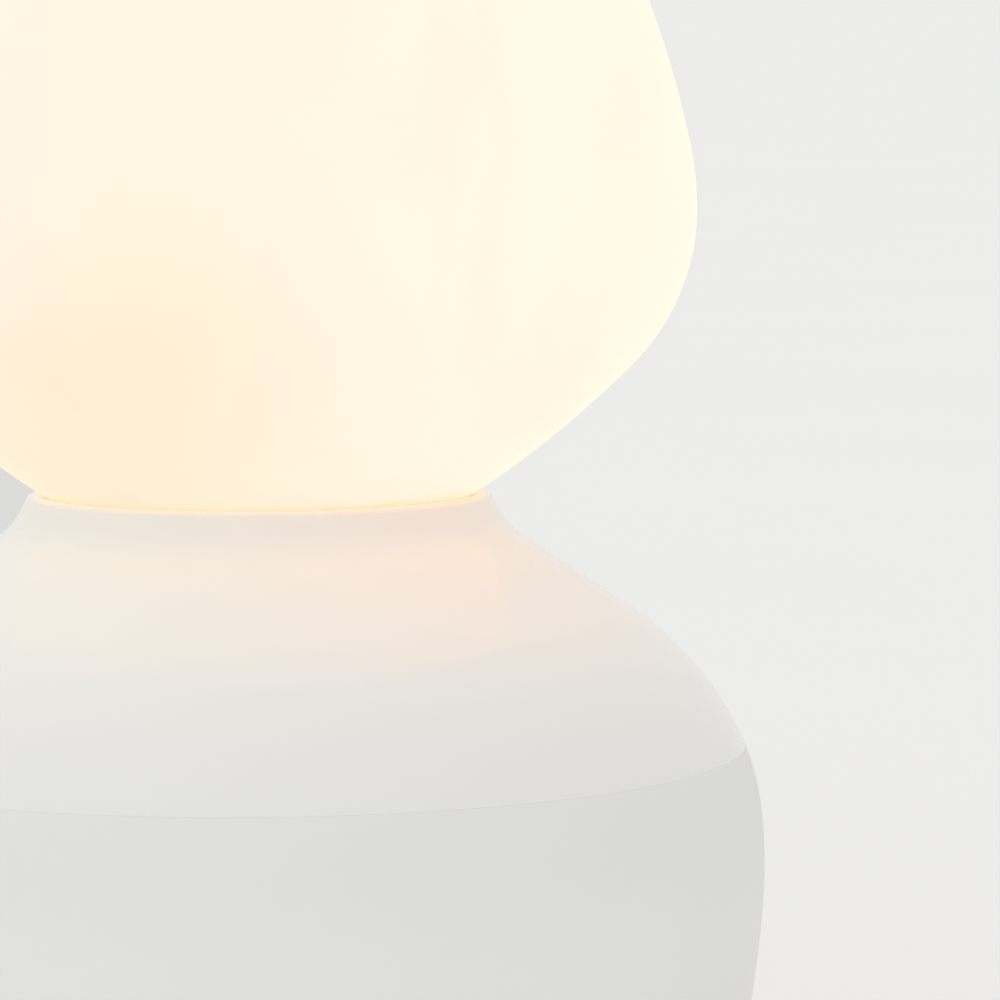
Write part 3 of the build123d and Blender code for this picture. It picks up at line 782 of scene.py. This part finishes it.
@dataclass(frozen=True)
class LitOpal(Finish):
    """Opal lit from inside, with painted reflection and painted shade in its glow: a warm patch, paler to
    both sides, golden at the lip, with faint streaks.
    """

    # Painted reflection: core is a warmer patch where the glass mirrors a dark part of the room, right is
    # brighter light reflected on that side, and left is paler daylight reflected from the left. All three
    # lie over the bulb's own glow in body. The tone at the foot of the glass is painted shade, golden where
    # the lip shades it.
    core: Colour = (0.75, 0.512, 0.318)
    body: Colour = (0.75, 0.543, 0.383)
    right: Colour = (0.96, 0.594, 0.446)
    left: Colour = (0.65, 0.562, 0.465)
    lip_shade: Colour = (0.80, 0.52, 0.31)
    core_place: Span = (-0.025, 0.187)
    core_reach: Span = (0.008, 0.046)
    right_reach: Span = (-0.030, 0.045)
    right_slant: float = 0.3
    left_reach: Span = (-0.060, -0.025)
    left_height: Span = (0.175, 0.245)
    lip_shade_height: Span = (0.1650, 0.1685)
    streaks: float = 0.022
    streak_turn: float = 0.5
    streak_stretch: Triple = (1.0, 1.0, 0.35)
    streak_scale: float = 26.0
    streak_detail: float = 2.0
    streak_bend: float = 0.6
    streak_range: Span = (0.35, 0.65)
    glow: float = 1.0

    def light_up(self, sheet: SurfaceSheet, shader: bpy.types.Node) -> None:
        """Feed the glow to the shader.

        Args:
            sheet: the material's nodes.
            shader: the surface shader.
        """
        across, _, height = sheet.along()
        # Painted reflection laid into the glow: a warm core patch, brighter to the right and paler to the
        # left.
        flat = sheet.add("CombineXYZ", {0: across, 2: height}).outputs[0]
        centre = (self.core_place[0], 0.0, self.core_place[1])
        away = sheet.add("VectorMath", {0: flat, 1: centre}, operation="DISTANCE").outputs["Value"]
        tone = sheet.blend(sheet.spread(away, self.core_reach, (0.0, 1.0)), self.core, self.body)
        slant = {0: height, 1: -self.right_slant, 2: across}
        slid = sheet.add("Math", slant, operation="MULTIPLY_ADD").outputs[0]
        shift = self.right_slant * self.core_place[1]
        to_right = sheet.spread(slid, tuple(x - shift for x in self.right_reach), (0.0, 1.0))
        tone = sheet.blend(to_right, tone, self.right)
        to_left = sheet.spread(across, self.left_reach, (1.0, 0.0))
        raised = sheet.spread(height, self.left_height, (0.0, 1.0))
        tone = sheet.blend(sheet.times(to_left, raised), tone, self.left)
        # Painted shade: golden towards the foot of the glass, where the lip shades it.
        tone = sheet.blend(sheet.spread(height, self.lip_shade_height, (1.0, 0.0)), tone, self.lip_shade)
        shader.inputs["Emission Strength"].default_value = self.glow
        sheet.tree.links.new(self.veil(sheet, tone), shader.inputs["Emission Color"])

    def veil(self, sheet: SurfaceSheet, tone: Socket) -> Socket:
        """Lay faint slanting streaks over the glow.

        Args:
            sheet: the material's nodes.
            tone: socket of the glow's colour.

        Returns:
            The streaked colour's socket.
        """
        turn = (0.0, self.streak_turn, 0.0)
        course = {"Vector": sheet.place, "Rotation": turn, "Scale": self.streak_stretch}
        noise = {
            "Vector": sheet.add("Mapping", course).outputs[0],
            "Scale": self.streak_scale,
            "Detail": self.streak_detail,
            "Distortion": self.streak_bend,
        }
        strands = sheet.add("TexNoise", noise).outputs[0]
        share = sheet.spread(strands, self.streak_range, (1.0 - self.streaks, 1.0 + self.streaks))
        thick = sheet.add("CombineXYZ", {0: 1.0, 1: share, 2: share}).outputs[0]
        return sheet.blend(1.0, tone, thick, "MULTIPLY")


OPAL_GLASS = LitOpal(
    "opal glass", (0.40, 0.40, 0.395), (0.385, 0.38, 0.37), gloss_spread=0.03, shine=0.04,
    drift_scale=9.0, grain_scale=120.0, grain_depth=0.00004,
)
# Painted light: the shoulder glaze is a lighter copy of the body glaze, for the shoulder catching more
# light than the body below the seam.
COVER_GLAZE = Glaze(
    "shoulder glaze", (0.796, 0.798, 0.777), (0.779, 0.781, 0.760), roughness=0.2, gloss_spread=0.03,
    coat=0.45, shine=0.2, drift_scale=11.0, grain_scale=260.0, grain_depth=0.00001,
)
# Painted light: a darker copy of the shoulder glaze, painted paler again towards the bottom.
BODY_GLAZE = Glaze(
    "body glaze", (0.775, 0.777, 0.767), (0.760, 0.762, 0.751), roughness=0.34, gloss_spread=0.04,
    shine=0.06, drift_scale=10.0, grain_scale=260.0, grain_depth=0.00001, painted_light_gain=1.055,
)
FELT = Finish(
    "grey felt", (0.100, 0.097, 0.092), (0.060, 0.058, 0.055), roughness=0.95, gloss_spread=0.04, sheen=0.4,
    drift_scale=420.0, drift=1.0, grain_scale=2400.0, grain_stretch=(1.0, 1.0, 0.4), grain_depth=0.0005,
)
SILICONE = Finish(
    "milky silicone", (0.66, 0.66, 0.64), (0.58, 0.58, 0.56), roughness=0.5, drift_scale=60.0,
    grain_scale=1500.0,
)
ZINC = Finish(
    "zinc plate", (0.60, 0.61, 0.62), (0.50, 0.50, 0.48), roughness=0.32, metallic=1.0, drift_scale=150.0,
    grain=Grain.TURNED, grain_depth=0.00003,
)
DARK_STEEL = Finish(
    "rolled steel", (0.16, 0.16, 0.165), (0.10, 0.095, 0.09), roughness=0.5, gloss_spread=0.14,
    metallic=1.0, drift_scale=70.0, drift=0.9, grain_scale=500.0, grain_stretch=(1.0, 0.1, 1.0),
    grain_depth=0.00005,
)
BRASS = Finish(
    "satin brass", (0.60, 0.42, 0.17), (0.48, 0.31, 0.11), roughness=0.3, metallic=1.0, drift_scale=90.0,
    grain=Grain.TURNED, grain_scale=1400.0, grain_depth=0.00003,
)
NYLON = Finish(
    "natural nylon", (0.74, 0.73, 0.69), (0.68, 0.66, 0.61), roughness=0.45, drift_scale=80.0,
    grain_scale=1300.0,
)
HOLDER_RESIN = Finish(
    "white moulded resin", (0.78, 0.775, 0.755), (0.73, 0.725, 0.70), roughness=0.3, coat=0.15,
    drift_scale=50.0, grain_scale=1700.0,
)
STEATITE = Finish(
    "steatite", (0.78, 0.75, 0.67), (0.70, 0.66, 0.58), roughness=0.7, drift_scale=200.0, drift=0.8,
    grain_scale=2200.0, grain_depth=0.00008,
)
BULB_GLOW = (1.0, 0.62, 0.46)
BULB_OPAL = LitOpal(
    "bulb diffuser", (0.42, 0.42, 0.41), (0.40, 0.40, 0.385), roughness=0.45, shine=0.3, drift_scale=30.0,
    grain_scale=1600.0, streaks=0.02, core=(0.70, 0.44, 0.26), body=BULB_GLOW, right=BULB_GLOW,
    left=BULB_GLOW, core_place=(0.0, 0.195), core_reach=(0.012, 0.045), lip_shade_height=(0.0, 0.1),
)
BULB_RESIN = Finish(
    "bulb housing resin", (0.80, 0.80, 0.79), (0.75, 0.75, 0.735), roughness=0.34, drift_scale=60.0,
    grain_scale=1700.0,
)
NICKEL = Finish(
    "nickel plate", (0.62, 0.60, 0.56), (0.50, 0.48, 0.44), roughness=0.24, metallic=1.0, drift_scale=180.0,
    grain=Grain.TURNED, grain_scale=1100.0,
)
BLACK_GLASS = Finish(
    "black fused glass", (0.010, 0.010, 0.012), (0.022, 0.020, 0.022), roughness=0.12, gloss_spread=0.04,
    coat=0.4, drift_scale=240.0, grain_scale=700.0, grain_depth=0.00006,
)
WHITE_BOARD = Finish(
    "white board", (0.80, 0.81, 0.79), (0.70, 0.72, 0.69), drift_scale=600.0, drift=0.4, grain_scale=3000.0,
)


def dress(finish: Finish, *targets: str | bpy.types.Object) -> None:
    """Give one finish to pieces or to solids by name.

    Args:
        finish: the finish.
        targets: new pieces, or names of solids that show as they are.
    """
    coat = bpy.data.materials.get(finish.name) or finish.material()
    for target in targets:
        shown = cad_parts[target] if isinstance(target, str) else target
        shown.data.materials.clear()
        shown.data.materials.append(coat)


@dataclass
class GlazedBase:
    """Two-piece glazed base: an incurved bowl on a felt ring, and a shoulder cover with a rounded lip."""

    widest: float = 100.0
    side: float = 106.0
    side_up: float = 5.0
    side_down: float = 5.0
    rim_round: float = 52.0
    rim_turn: float = 16.5
    taper: float = 250.0
    taper_turn: float = 17.0
    foot_round: float = 14.0
    foot_height: float = 2.0
    crease: float = 3.0
    shoulder: float = 67.0
    slope: float = 56.5
    neck_sweep: float = 15.0
    neck_slope: float = 28.0
    neck_straight: float = 3.0
    lip_radius: float = 44.2
    lip_round: float = 2.0
    wall: float = 5.0
    seam_edge: float = 0.04
    floor_low: float = 11.0
    floor_top: float = 17.0
    recess: float = 55.0
    recess_edge: float = 0.8
    tube_hole: float = 5.3
    spigot_gap: float = 0.5
    spigot_wall: float = 3.0
    spigot_drop: float = 6.0
    ledge_depth: float = 5.0
    ledge_thick: float = 4.0
    ledge_width: float = 3.4
    ledge_edge: float = 1.5
    notch_half: float = 4.5
    notch_top: float = 9.0
    felt_width: float = 11.0
    felt_edge: float = 0.45
    band_beads: int = 2
    band_bead: float = 0.35
    band_gap: float = 0.533
    hair_gap: float = 0.02

    @property
    def rising(self) -> Steps:
        """Steps of the bowl's outer face, from its widest ring up to the seam."""
        return [(self.side, self.side_up), (self.rim_round, self.rim_turn)]

    @property
    def falling(self) -> Steps:
        """Steps of the bowl's outer face, from its widest ring down to the foot."""
        foot_turn = 90.0 - self.side_down - self.taper_turn
        return [(self.side, -self.side_down), (self.taper, -self.taper_turn), (self.foot_round, -foot_turn)]

    @property
    def widest_height(self) -> float:
        """Height of the bowl's widest ring."""
        return self.foot_height - travel(self.falling, DOWN)[1]

    @property
    def lean(self) -> float:
        """Lean of the bowl's rim at the seam."""
        return self.side_up + self.rim_turn

    @property
    def seam(self) -> tuple[float, float]:
        """Radius and height of the seam."""
        out, up = travel(self.rising, UP)
        return self.widest + out, self.widest_height + up

    @property
    def rim_bore(self) -> float:
        """Radius of the bowl's inner face at the seam."""
        return self.seam[0] - self.wall / cos(radians(self.lean))

    @property
    def cover_heading(self) -> float:
        """Direction in which the cover's outer face leaves the seam."""
        return UP + self.lean + self.crease

    @property
    def climbing(self) -> Steps:
        """Steps of the cover's outer face, from the seam up to the lip.

        Returns:
            The steps.
        """
        shoulder = (self.shoulder, self.slope - self.lean - self.crease)
        neck = [(self.neck_sweep, self.neck_slope - self.slope), (self.neck_straight, 0.0)]
        lip_edge = self.lip_radius + self.lip_round * cos(radians(self.neck_slope))
        start = self.seam[0] + travel([shoulder], self.cover_heading)[0]
        stop = lip_edge - travel(neck, UP + self.slope)[0]
        return [shoulder, ((start - stop) / sin(radians(self.slope)), 0.0), *neck]

    @property
    def ledge_top(self) -> float:
        """Height of the ledge in the neck."""
        lip_edge = self.seam[1] + travel(self.climbing, self.cover_heading)[1]
        return lip_edge + self.lip_round * (1.0 - sin(radians(self.neck_slope))) - self.ledge_depth

    def bowl(self) -> bpy.types.Object:
        """Build the lower body.

        Returns:
            The piece.
        """
        floor = Outline(self.widest - self.wall, self.widest_height, DOWN)
        floor.arc(self.side - self.wall, -self.side_down)
        floor.right_arc_to_height(self.taper - self.wall, self.floor_top)
        edge, slant = floor.last.co.x, floor.heading
        floor.mesh.free()
        outline = Outline(self.tube_hole, self.floor_top, OUT)
        outline.line_to(edge, self.floor_top).face(slant + 180.0)
        outline.arc(self.taper - self.wall, DOWN - self.side_down - slant)
        outline.follow(inset([(self.side, self.side_down), *self.rising], self.wall))
        outline.line_to_height(self.seam[1])
        outline.line_to(*self.seam).soften(self.seam_edge, 90.0 - self.lean)
        outline.face(DOWN + self.lean).follow(back(self.rising)).follow(self.falling)
        outline.line_to(self.recess, self.foot_height).soften(self.recess_edge, 90.0)
        outline.line_to(self.recess, self.floor_low).soften(self.recess_edge, 90.0)
        outline.line_to(self.tube_hole, self.floor_low).close()
        made = piece(outline.turned(FINE_SIDES), "lower_body_glazed", Body.BASE, "glaze", "lower_body")
        cut_away(made, self.notch())
        return made

    def notch(self) -> Mesh:
        """Arched bar that cuts the cord notch through the rear of the foot ring.

        Returns:
            The bar.
        """
        crown = self.notch_top - self.notch_half
        arch = Outline(self.notch_half, -self.foot_height, UP)
        arch.line_to(self.notch_half, crown).arc(self.notch_half, 180.0)
        arch.line_to(-self.notch_half, -self.foot_height).close()
        end = bmesh.ops.contextual_create(arch.mesh, geom=arch.mesh.edges[:])["faces"]
        drawn = bmesh.ops.extrude_face_region(arch.mesh, geom=end)["geom"]
        tips = [v for v in drawn if isinstance(v, bmesh.types.BMVert)]
        bmesh.ops.translate(arch.mesh, verts=tips, vec=(0.0, self.widest, 0.0))
        return arch.mesh

    def cover(self) -> bpy.types.Object:
        """Build the shoulder cover.

        Returns:
            The piece.
        """
        radius, height = self.seam
        spigot_outer = self.rim_bore - self.spigot_gap
        spigot_inner = spigot_outer - self.spigot_wall
        bore = self.lip_radius - self.lip_round
        outline = Outline(spigot_outer, height, OUT)
        outline.line_to(radius, height).soften(self.seam_edge, self.cover_heading)
        outline.face(self.cover_heading).follow(self.climbing)
        outline.arc(self.lip_round, 180.0 - self.neck_slope).line_to_height(self.ledge_top)
        outline.line_to(bore - self.ledge_width, self.ledge_top).soften(self.ledge_edge, 90.0)
        outline.line_to(bore - self.ledge_width, self.ledge_top - self.ledge_thick)
        for point in self.inner_face(spigot_inner):
            outline.line_to(*point)
        outline.line_to(spigot_inner, height - self.spigot_drop)
        outline.line_to(spigot_outer, height - self.spigot_drop).close()
        mesh = outline.turned(FINE_SIDES)
        return piece(mesh, "shoulder_cover_glazed", Body.BASE, "glaze", "shoulder_cover")

    def inner_face(self, spigot: float) -> list[tuple[float, float]]:
        """Points down the cover's inner face, from under the ledge to the spigot.

        Args:
            spigot: inner radius of the spigot.

        Returns:
            The points as (radius, height).
        """
        lean = radians(self.cover_heading)
        radius, height = self.seam
        start = (radius - self.wall * sin(lean), height + self.wall * cos(lean))
        face = Outline(*start, self.cover_heading).follow(inset(self.climbing[:3], self.wall))
        run = [(v.co.x, v.co.z) for v in face.mesh.verts]
        face.mesh.free()
        under = self.ledge_top - self.ledge_thick
        kept = [(r, z) for r, z in run if z < under and r < spigot]
        return [(kept[-1][0], under), *reversed(kept)]

    def felt_ring(self) -> bpy.types.Object:
        """Build the felt ring under the foot, open at the cord notch.

        Returns:
            The piece.
        """
        _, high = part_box("foot_pad")
        outer, thick = high.x / MM, high.z / MM - self.hair_gap
        inner = outer - self.felt_width
        outline = Outline(inner, 0.0, OUT).soften(self.felt_edge, 90.0)
        for radius, height in ((outer, 0.0), (outer, thick), (inner, thick)):
            outline.line_to(radius, height).soften(self.felt_edge, 90.0)
        made = piece(outline.close().turned(), "felt_foot_ring", Body.BASE, "felt", "foot_pad")
        cut_away(made, self.notch())
        return made

    def seam_band(self) -> bpy.types.Object:
        """Build the beaded silicone band on the cover's spigot.

        Returns:
            The piece.
        """
        low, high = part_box("seam_band")
        inner = self.rim_bore - self.spigot_gap + self.hair_gap
        outline = Outline(inner, low.z / MM, OUT)
        outline.line_to(high.x / MM - self.band_bead, low.z / MM).face(UP)
        outline.beads(self.band_beads, self.band_bead, self.band_gap)
        outline.line_to(inner, outline.last.co.z).close()
        return piece(outline.turned(), "silicone_seam_band", Body.BASE, "silicone", "seam_band")

    def build(self) -> None:
        """Build and dress the base."""
        dress(BODY_GLAZE, self.bowl())
        dress(COVER_GLAZE, self.cover())
        dress(FELT, self.felt_ring())
        dress(SILICONE, self.seam_band())


@dataclass(frozen=True)
class Glow:
    """Part of the bulb's light that comes out through the underside of the shade."""

    name: str
    tone: Colour
    power: float
    place: Triple
    width: float

    def lamp(self) -> bpy.types.Object:
        """Make the light, facing down.

        Returns:
            The light's object.
        """
        light = bpy.data.lights.new(self.name, "AREA")
        light.shape = "DISK"
        light.size = self.width
        light.color = self.tone
        light.energy = self.power
        made = put_in_scene(self.name, light)
        made.location = self.place
        made.visible_glossy = False
        return made


@dataclass
class OpalShade:
    """Blown opal glass shade with a short fitter, and the bulb's light that comes through its underside."""

    widest: float = 86.5
    fitter: float = 36.8
    fitter_edge: float = 0.8
    fitter_sweep: float = 3.0
    underside: float = 200.0
    belly: float = 43.0
    belly_turn: float = 45.0
    cheek: float = 62.0
    cheek_turn: float = 12.0
    flank: float = 200.0
    flank_turn: float = 18.0
    wall: float = 3.0
    glows: tuple[Glow, ...] = (
        Glow("glow_left", (0.82, 0.97, 0.88), 0.0220, (-0.024, -0.014, 0.235), 0.100),
        Glow("glow_right", (1.0, 0.52, 0.0), 0.0165, (0.038, -0.012, 0.235), 0.070),
    )

    @property
    def fitter_angle(self) -> float:
        """Degrees that the underside leans where it sweeps down into the fitter."""
        centre = self.widest - self.belly - (self.underside - self.belly) * cos(radians(self.belly_turn))
        reach = self.fitter + self.fitter_sweep - centre
        return degrees(acos(reach / (self.underside + self.fitter_sweep)))

    @property
    def crown(self) -> float:
        """Radius of the crown, which closes the outline on the axis."""
        flanks = [(self.cheek, self.cheek_turn), (self.flank, self.flank_turn)]
        return (self.widest + travel(flanks, UP)[0]) / cos(radians(self.cheek_turn + self.flank_turn))

    def outer_face(self) -> Steps:
        """Steps of the outer face, from the rounded edge of the fitter up to the crown.

        Returns:
            The steps.
        """
        low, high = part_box("glass_shade")
        rest = [
            (self.fitter_sweep, -self.fitter_angle),
            (self.underside, self.fitter_angle - self.belly_turn),
            (self.belly, self.belly_turn),
            (self.cheek, self.cheek_turn),
            (self.flank, self.flank_turn),
            (self.crown, 90.0 - self.cheek_turn - self.flank_turn),
        ]
        fitter = (high.z - low.z) / MM - travel(rest, UP)[1] - self.fitter_edge
        return [(fitter, 0.0), *rest]

    def glass(self) -> bpy.types.Object:
        """Build the shade.

        Returns:
            The piece.
        """
        outer = self.outer_face()
        outline = Outline(0.0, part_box("glass_shade")[1].z / MM - self.wall, OUT)
        outline.follow(back(inset(outer, self.wall)))
        corner, flat = (self.fitter_edge, 90.0), (self.wall - 2 * self.fitter_edge, 0.0)
        outline.follow([corner, flat, corner, *outer])
        mesh = outline.turned(FINE_SIDES)
        return piece(mesh, "opal_glass_shade", Body.SHADE, "opal_glass", "glass_shade")

    def light_through(self, glass: bpy.types.Object) -> None:
        """Let the bulb's light out through the underside of the glass.

        Args:
            glass: the shade, which doesn't hold this light back.
        """
        clear = bpy.data.collections.new("glass that lets the glow through")
        clear.objects.link(glass)
        clear.collection_objects[0].light_linking.link_state = "EXCLUDE"
        for glow in self.glows:
            lamp = glow.lamp()
            lamp.parent = glass
            lamp.light_linking.blocker_collection = clear

    def build(self) -> None:
        """Build, dress and light the shade."""
        glass = self.glass()
        dress(OPAL_GLASS, glass)
        self.light_through(glass)


@dataclass
class ClampColumn:
    """Threaded tube with its nuts and washers, the ballast plate and the cord bushing."""

    bore: float = 4.0
    root: float = 4.4
    pitch: float = 1.0
    sides: int = 24

    def tube(self) -> bpy.types.Object:
        """Build the threaded tube.

        Returns:
            The piece.
        """
        low, high = (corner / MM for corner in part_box("tie_tube"))
        mesh = Thread(self.root, high.x, self.pitch, low.z, high.z, ThreadForm.CUT, self.sides).sheet()
        ends = rim(mesh, low.z), rim(mesh, high.z)
        inner = hoop(mesh, self.bore, low.z, self.sides), hoop(mesh, self.bore, high.z, self.sides)
        bridge(mesh, ends[0], inner[0], inner[1], ends[1])
        return piece(mesh, "threaded_tie_tube", Body.BASE, "zinc_steel", "tie_tube")

    def build(self) -> None:
        """Build and dress the column."""
        dress(ZINC, self.tube(), "hex_nuts", "spread_washer", "lock_washer")
        dress(DARK_STEEL, "ballast_plate")
        dress(NYLON, "cord_bushing")


@dataclass
class ShadeGallery:
    """Spun brass gallery in the neck, with the beaded silicone ring that the shade stands on."""

    seat_width: float = 3.0
    beads: int = 3
    bead: float = 0.35
    bead_gap: float = 0.225
    seat_edge: float = 0.3
    hair_gap: float = 0.02

    def seat_ring(self) -> bpy.types.Object:
        """Build the seat ring.

        Returns:
            The piece.
        """
        low, high = (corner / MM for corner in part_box("seat_ring"))
        inner, top = high.x - self.seat_width, high.z - self.bead - self.hair_gap
        outline = Outline(inner, low.z, OUT).soften(self.seat_edge, 90.0)
        outline.line_to(high.x, low.z).soften(self.seat_edge, 90.0)
        outline.line_to(high.x, top).face(IN).beads(self.beads, self.bead, self.bead_gap).close()
        return piece(outline.turned(), "silicone_seat_ring", Body.BASE, "silicone", "seat_ring")

    def build(self) -> None:
        """Build and dress the gallery."""
        dress(BRASS, "gallery")
        dress(SILICONE, self.seat_ring())


@dataclass
class Lampholder:
    """Screw lampholder: moulded cap and skirt, ceramic insert, contacts and the rolled screw liner."""

    liner_root: float = 13.6
    liner_crest: float = 14.05
    liner_sheet: float = 0.12
    end_gap: float = 0.1
    pitch: float = 3.63

    def liner(self) -> bpy.types.Object:
        """Build the rolled liner.

        Returns:
            The piece.
        """
        low, high = (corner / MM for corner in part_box("holder_liner"))
        ends = low.z + self.end_gap, high.z - self.end_gap
        mesh = Thread(self.liner_root, self.liner_crest, self.pitch, *ends).sheet()
        bmesh.ops.recalc_face_normals(mesh, faces=mesh.faces)
        bmesh.ops.solidify(mesh, geom=mesh.faces[:], thickness=-self.liner_sheet)
        return piece(mesh, "rolled_holder_liner", Body.BASE, "brass", "holder_liner")

    def build(self) -> None:
        """Build and dress the lampholder."""
        dress(BRASS, self.liner(), "centre_contact", "holder_terminals")
        dress(HOLDER_RESIN, "holder_cap", "holder_skirt")
        dress(STEATITE, "holder_insert")
        dress(ZINC, "holder_grub_screw")


@dataclass
class ScrewBulb:
    """Bulb with an opal globe, a moulded housing and a rolled screw cap."""

    cap_root: float = 12.1
    cap_collar: float = 12.9
    cap_foot: float = 11.6
    foot_height: float = 1.2
    collar_height: float = 4.0
    run_out: float = 0.8
    sheet: float = 0.4
    pitch: float = 3.63

    def cap(self) -> bpy.types.Object:
        """Build the screw cap.

        Returns:
            The piece.
        """
        low, high = (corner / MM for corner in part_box("bulb_cap"))
        start, stop = low.z + self.foot_height, high.z - self.collar_height
        mesh = Thread(self.cap_root, high.x, self.pitch, start, stop).sheet()
        foot = hoop(mesh, self.cap_foot, low.z)
        collar = [hoop(mesh, self.cap_collar, height) for height in (stop + self.run_out, high.z)]
        bridge(mesh, foot, rim(mesh, start))
        bridge(mesh, rim(mesh, stop), *collar)
        bmesh.ops.edgeloop_fill(mesh, edges=rim(mesh, low.z))
        bmesh.ops.recalc_face_normals(mesh, faces=mesh.faces)
        bmesh.ops.solidify(mesh, geom=mesh.faces[:], thickness=self.sheet)
        return piece(mesh, "rolled_bulb_cap", Body.BULB, "bulb_metal", "bulb_cap")

    def build(self) -> None:
        """Build and dress the bulb."""
        dress(NICKEL, self.cap(), "bulb_tip")
        dress(BLACK_GLASS, "bulb_insulator")
        dress(BULB_RESIN, "bulb_housing")
        dress(BULB_OPAL, "bulb_globe")
        dress(WHITE_BOARD, "led_board", "driver_board")


@dataclass
class Studio:
    """Pale floor, soft light all round and the camera."""

    floor_radius: float = 14.0
    floor_sides: int = 128
    floor_tone: Colour = (0.8635, 0.861, 0.847)
    floor_drift: float = 0.99
    floor_left_painted_shade: Colour = (0.733, 0.732, 0.720)
    backdrop: Colour = (0.842, 0.841, 0.825)
    dome: float = 1.042
    dome_left: float = 1.04
    dome_right: float = 0.68
    leftwards: Span = (-0.2, -0.9)
    rightwards: Span = (0.1, 0.9)
    upwards: Span = (0.05, 0.5)
    camera_distance: float = 0.970
    camera_height: float = 0.25044
    yaw: float = 2.8135
    pitch: float = 5.0915
    roll: float = -0.1535
    focal_pixels: float = 4914.95
    frame_pixels: float = 1000.0
    sensor: float = 36.0
    clip: Span = (0.01, 100.0)

    def floor(self) -> None:
        """Lay the floor, with painted shade that darkens it far off on the left."""
        mesh = bmesh.new()
        bmesh.ops.create_circle(mesh, cap_ends=True, radius=self.floor_radius, segments=self.floor_sides)
        data = bpy.data.meshes.new("floor")
        mesh.to_mesh(data)
        mesh.free()
        shade = tuple(c * self.floor_drift for c in self.floor_tone)
        paint = FloorPaint(
            "floor paint", self.floor_tone, shade, roughness=0.9, shine=0.0,
            drift_scale=2.0, grain_scale=60.0, grain_depth=0.0001, left_painted_shade=self.floor_left_painted_shade,
        )
        data.materials.append(paint.material())
        put_in_scene("floor", data)

    def light(self) -> None:
        """Light the scene from all round, least from the upper right."""
        world = bpy.data.worlds.new("studio")
        bpy.context.scene.world = world
        world.use_nodes = True
        sheet = NodeSheet(world.node_tree)
        course = sheet.add("SeparateXYZ", {0: sheet.add("TexCoord").outputs["Generated"]}).outputs
        raised = sheet.spread(course[2], self.upwards, (0.0, 1.0))
        tone = (self.dome,) * 3
        for ends, strength in ((self.leftwards, self.dome_left), (self.rightwards, self.dome_right)):
            aside = sheet.spread(course[0], ends, (0.0, 1.0))
            tone = sheet.blend(sheet.times(aside, raised), tone, (strength,) * 3)
        soft = sheet.add("Background", {"Color": tone, "Strength": 1.0})
        wall = sheet.add("Background", {"Color": rgba(self.backdrop), "Strength": 1.0})
        path = sheet.add("LightPath").outputs
        seen = path["Is Camera Ray"]
        for ray in ("Is Glossy Ray", "Is Transmission Ray"):
            seen = sheet.add("Math", {0: seen, 1: path[ray]}, operation="MAXIMUM").outputs[0]
        both = sheet.add("MixShader", {0: seen, 1: soft.outputs[0], 2: wall.outputs[0]})
        sheet.add("OutputWorld", {"Surface": both.outputs[0]})

    def camera(self) -> None:
        """Set up the camera."""
        lens = bpy.data.cameras.new("camera")
        lens.sensor_width = self.sensor
        lens.lens = self.focal_pixels / self.frame_pixels * self.sensor
        lens.clip_start, lens.clip_end = self.clip
        made = put_in_scene("camera", lens)
        turn = Matrix.Rotation(radians(-self.yaw), 4, "Z")
        tilt = Matrix.Rotation(radians(90.0 - self.pitch), 4, "X")
        lean = Matrix.Rotation(radians(self.roll), 4, "Z")
        stand = Matrix.Translation((0.0, -self.camera_distance, self.camera_height))
        made.matrix_world = stand @ turn @ tilt @ lean
        bpy.context.scene.camera = made

    def build(self) -> None:
        """Set the stage."""
        self.floor()
        self.light()
        self.camera()
        bpy.context.scene.view_settings.view_transform = "Standard"


def main() -> None:
    """Build the lamp and its studio."""
    logging.basicConfig(level=logging.INFO, format="%(message)s")
    lamp = (GlazedBase(), OpalShade(), ClampColumn(), ShadeGallery(), Lampholder(), ScrewBulb())
    for assembly in (*lamp, Studio()):
        assembly.build()
        LOG.info("%s done", type(assembly).__name__)


if __name__ == "__main__":
    main()
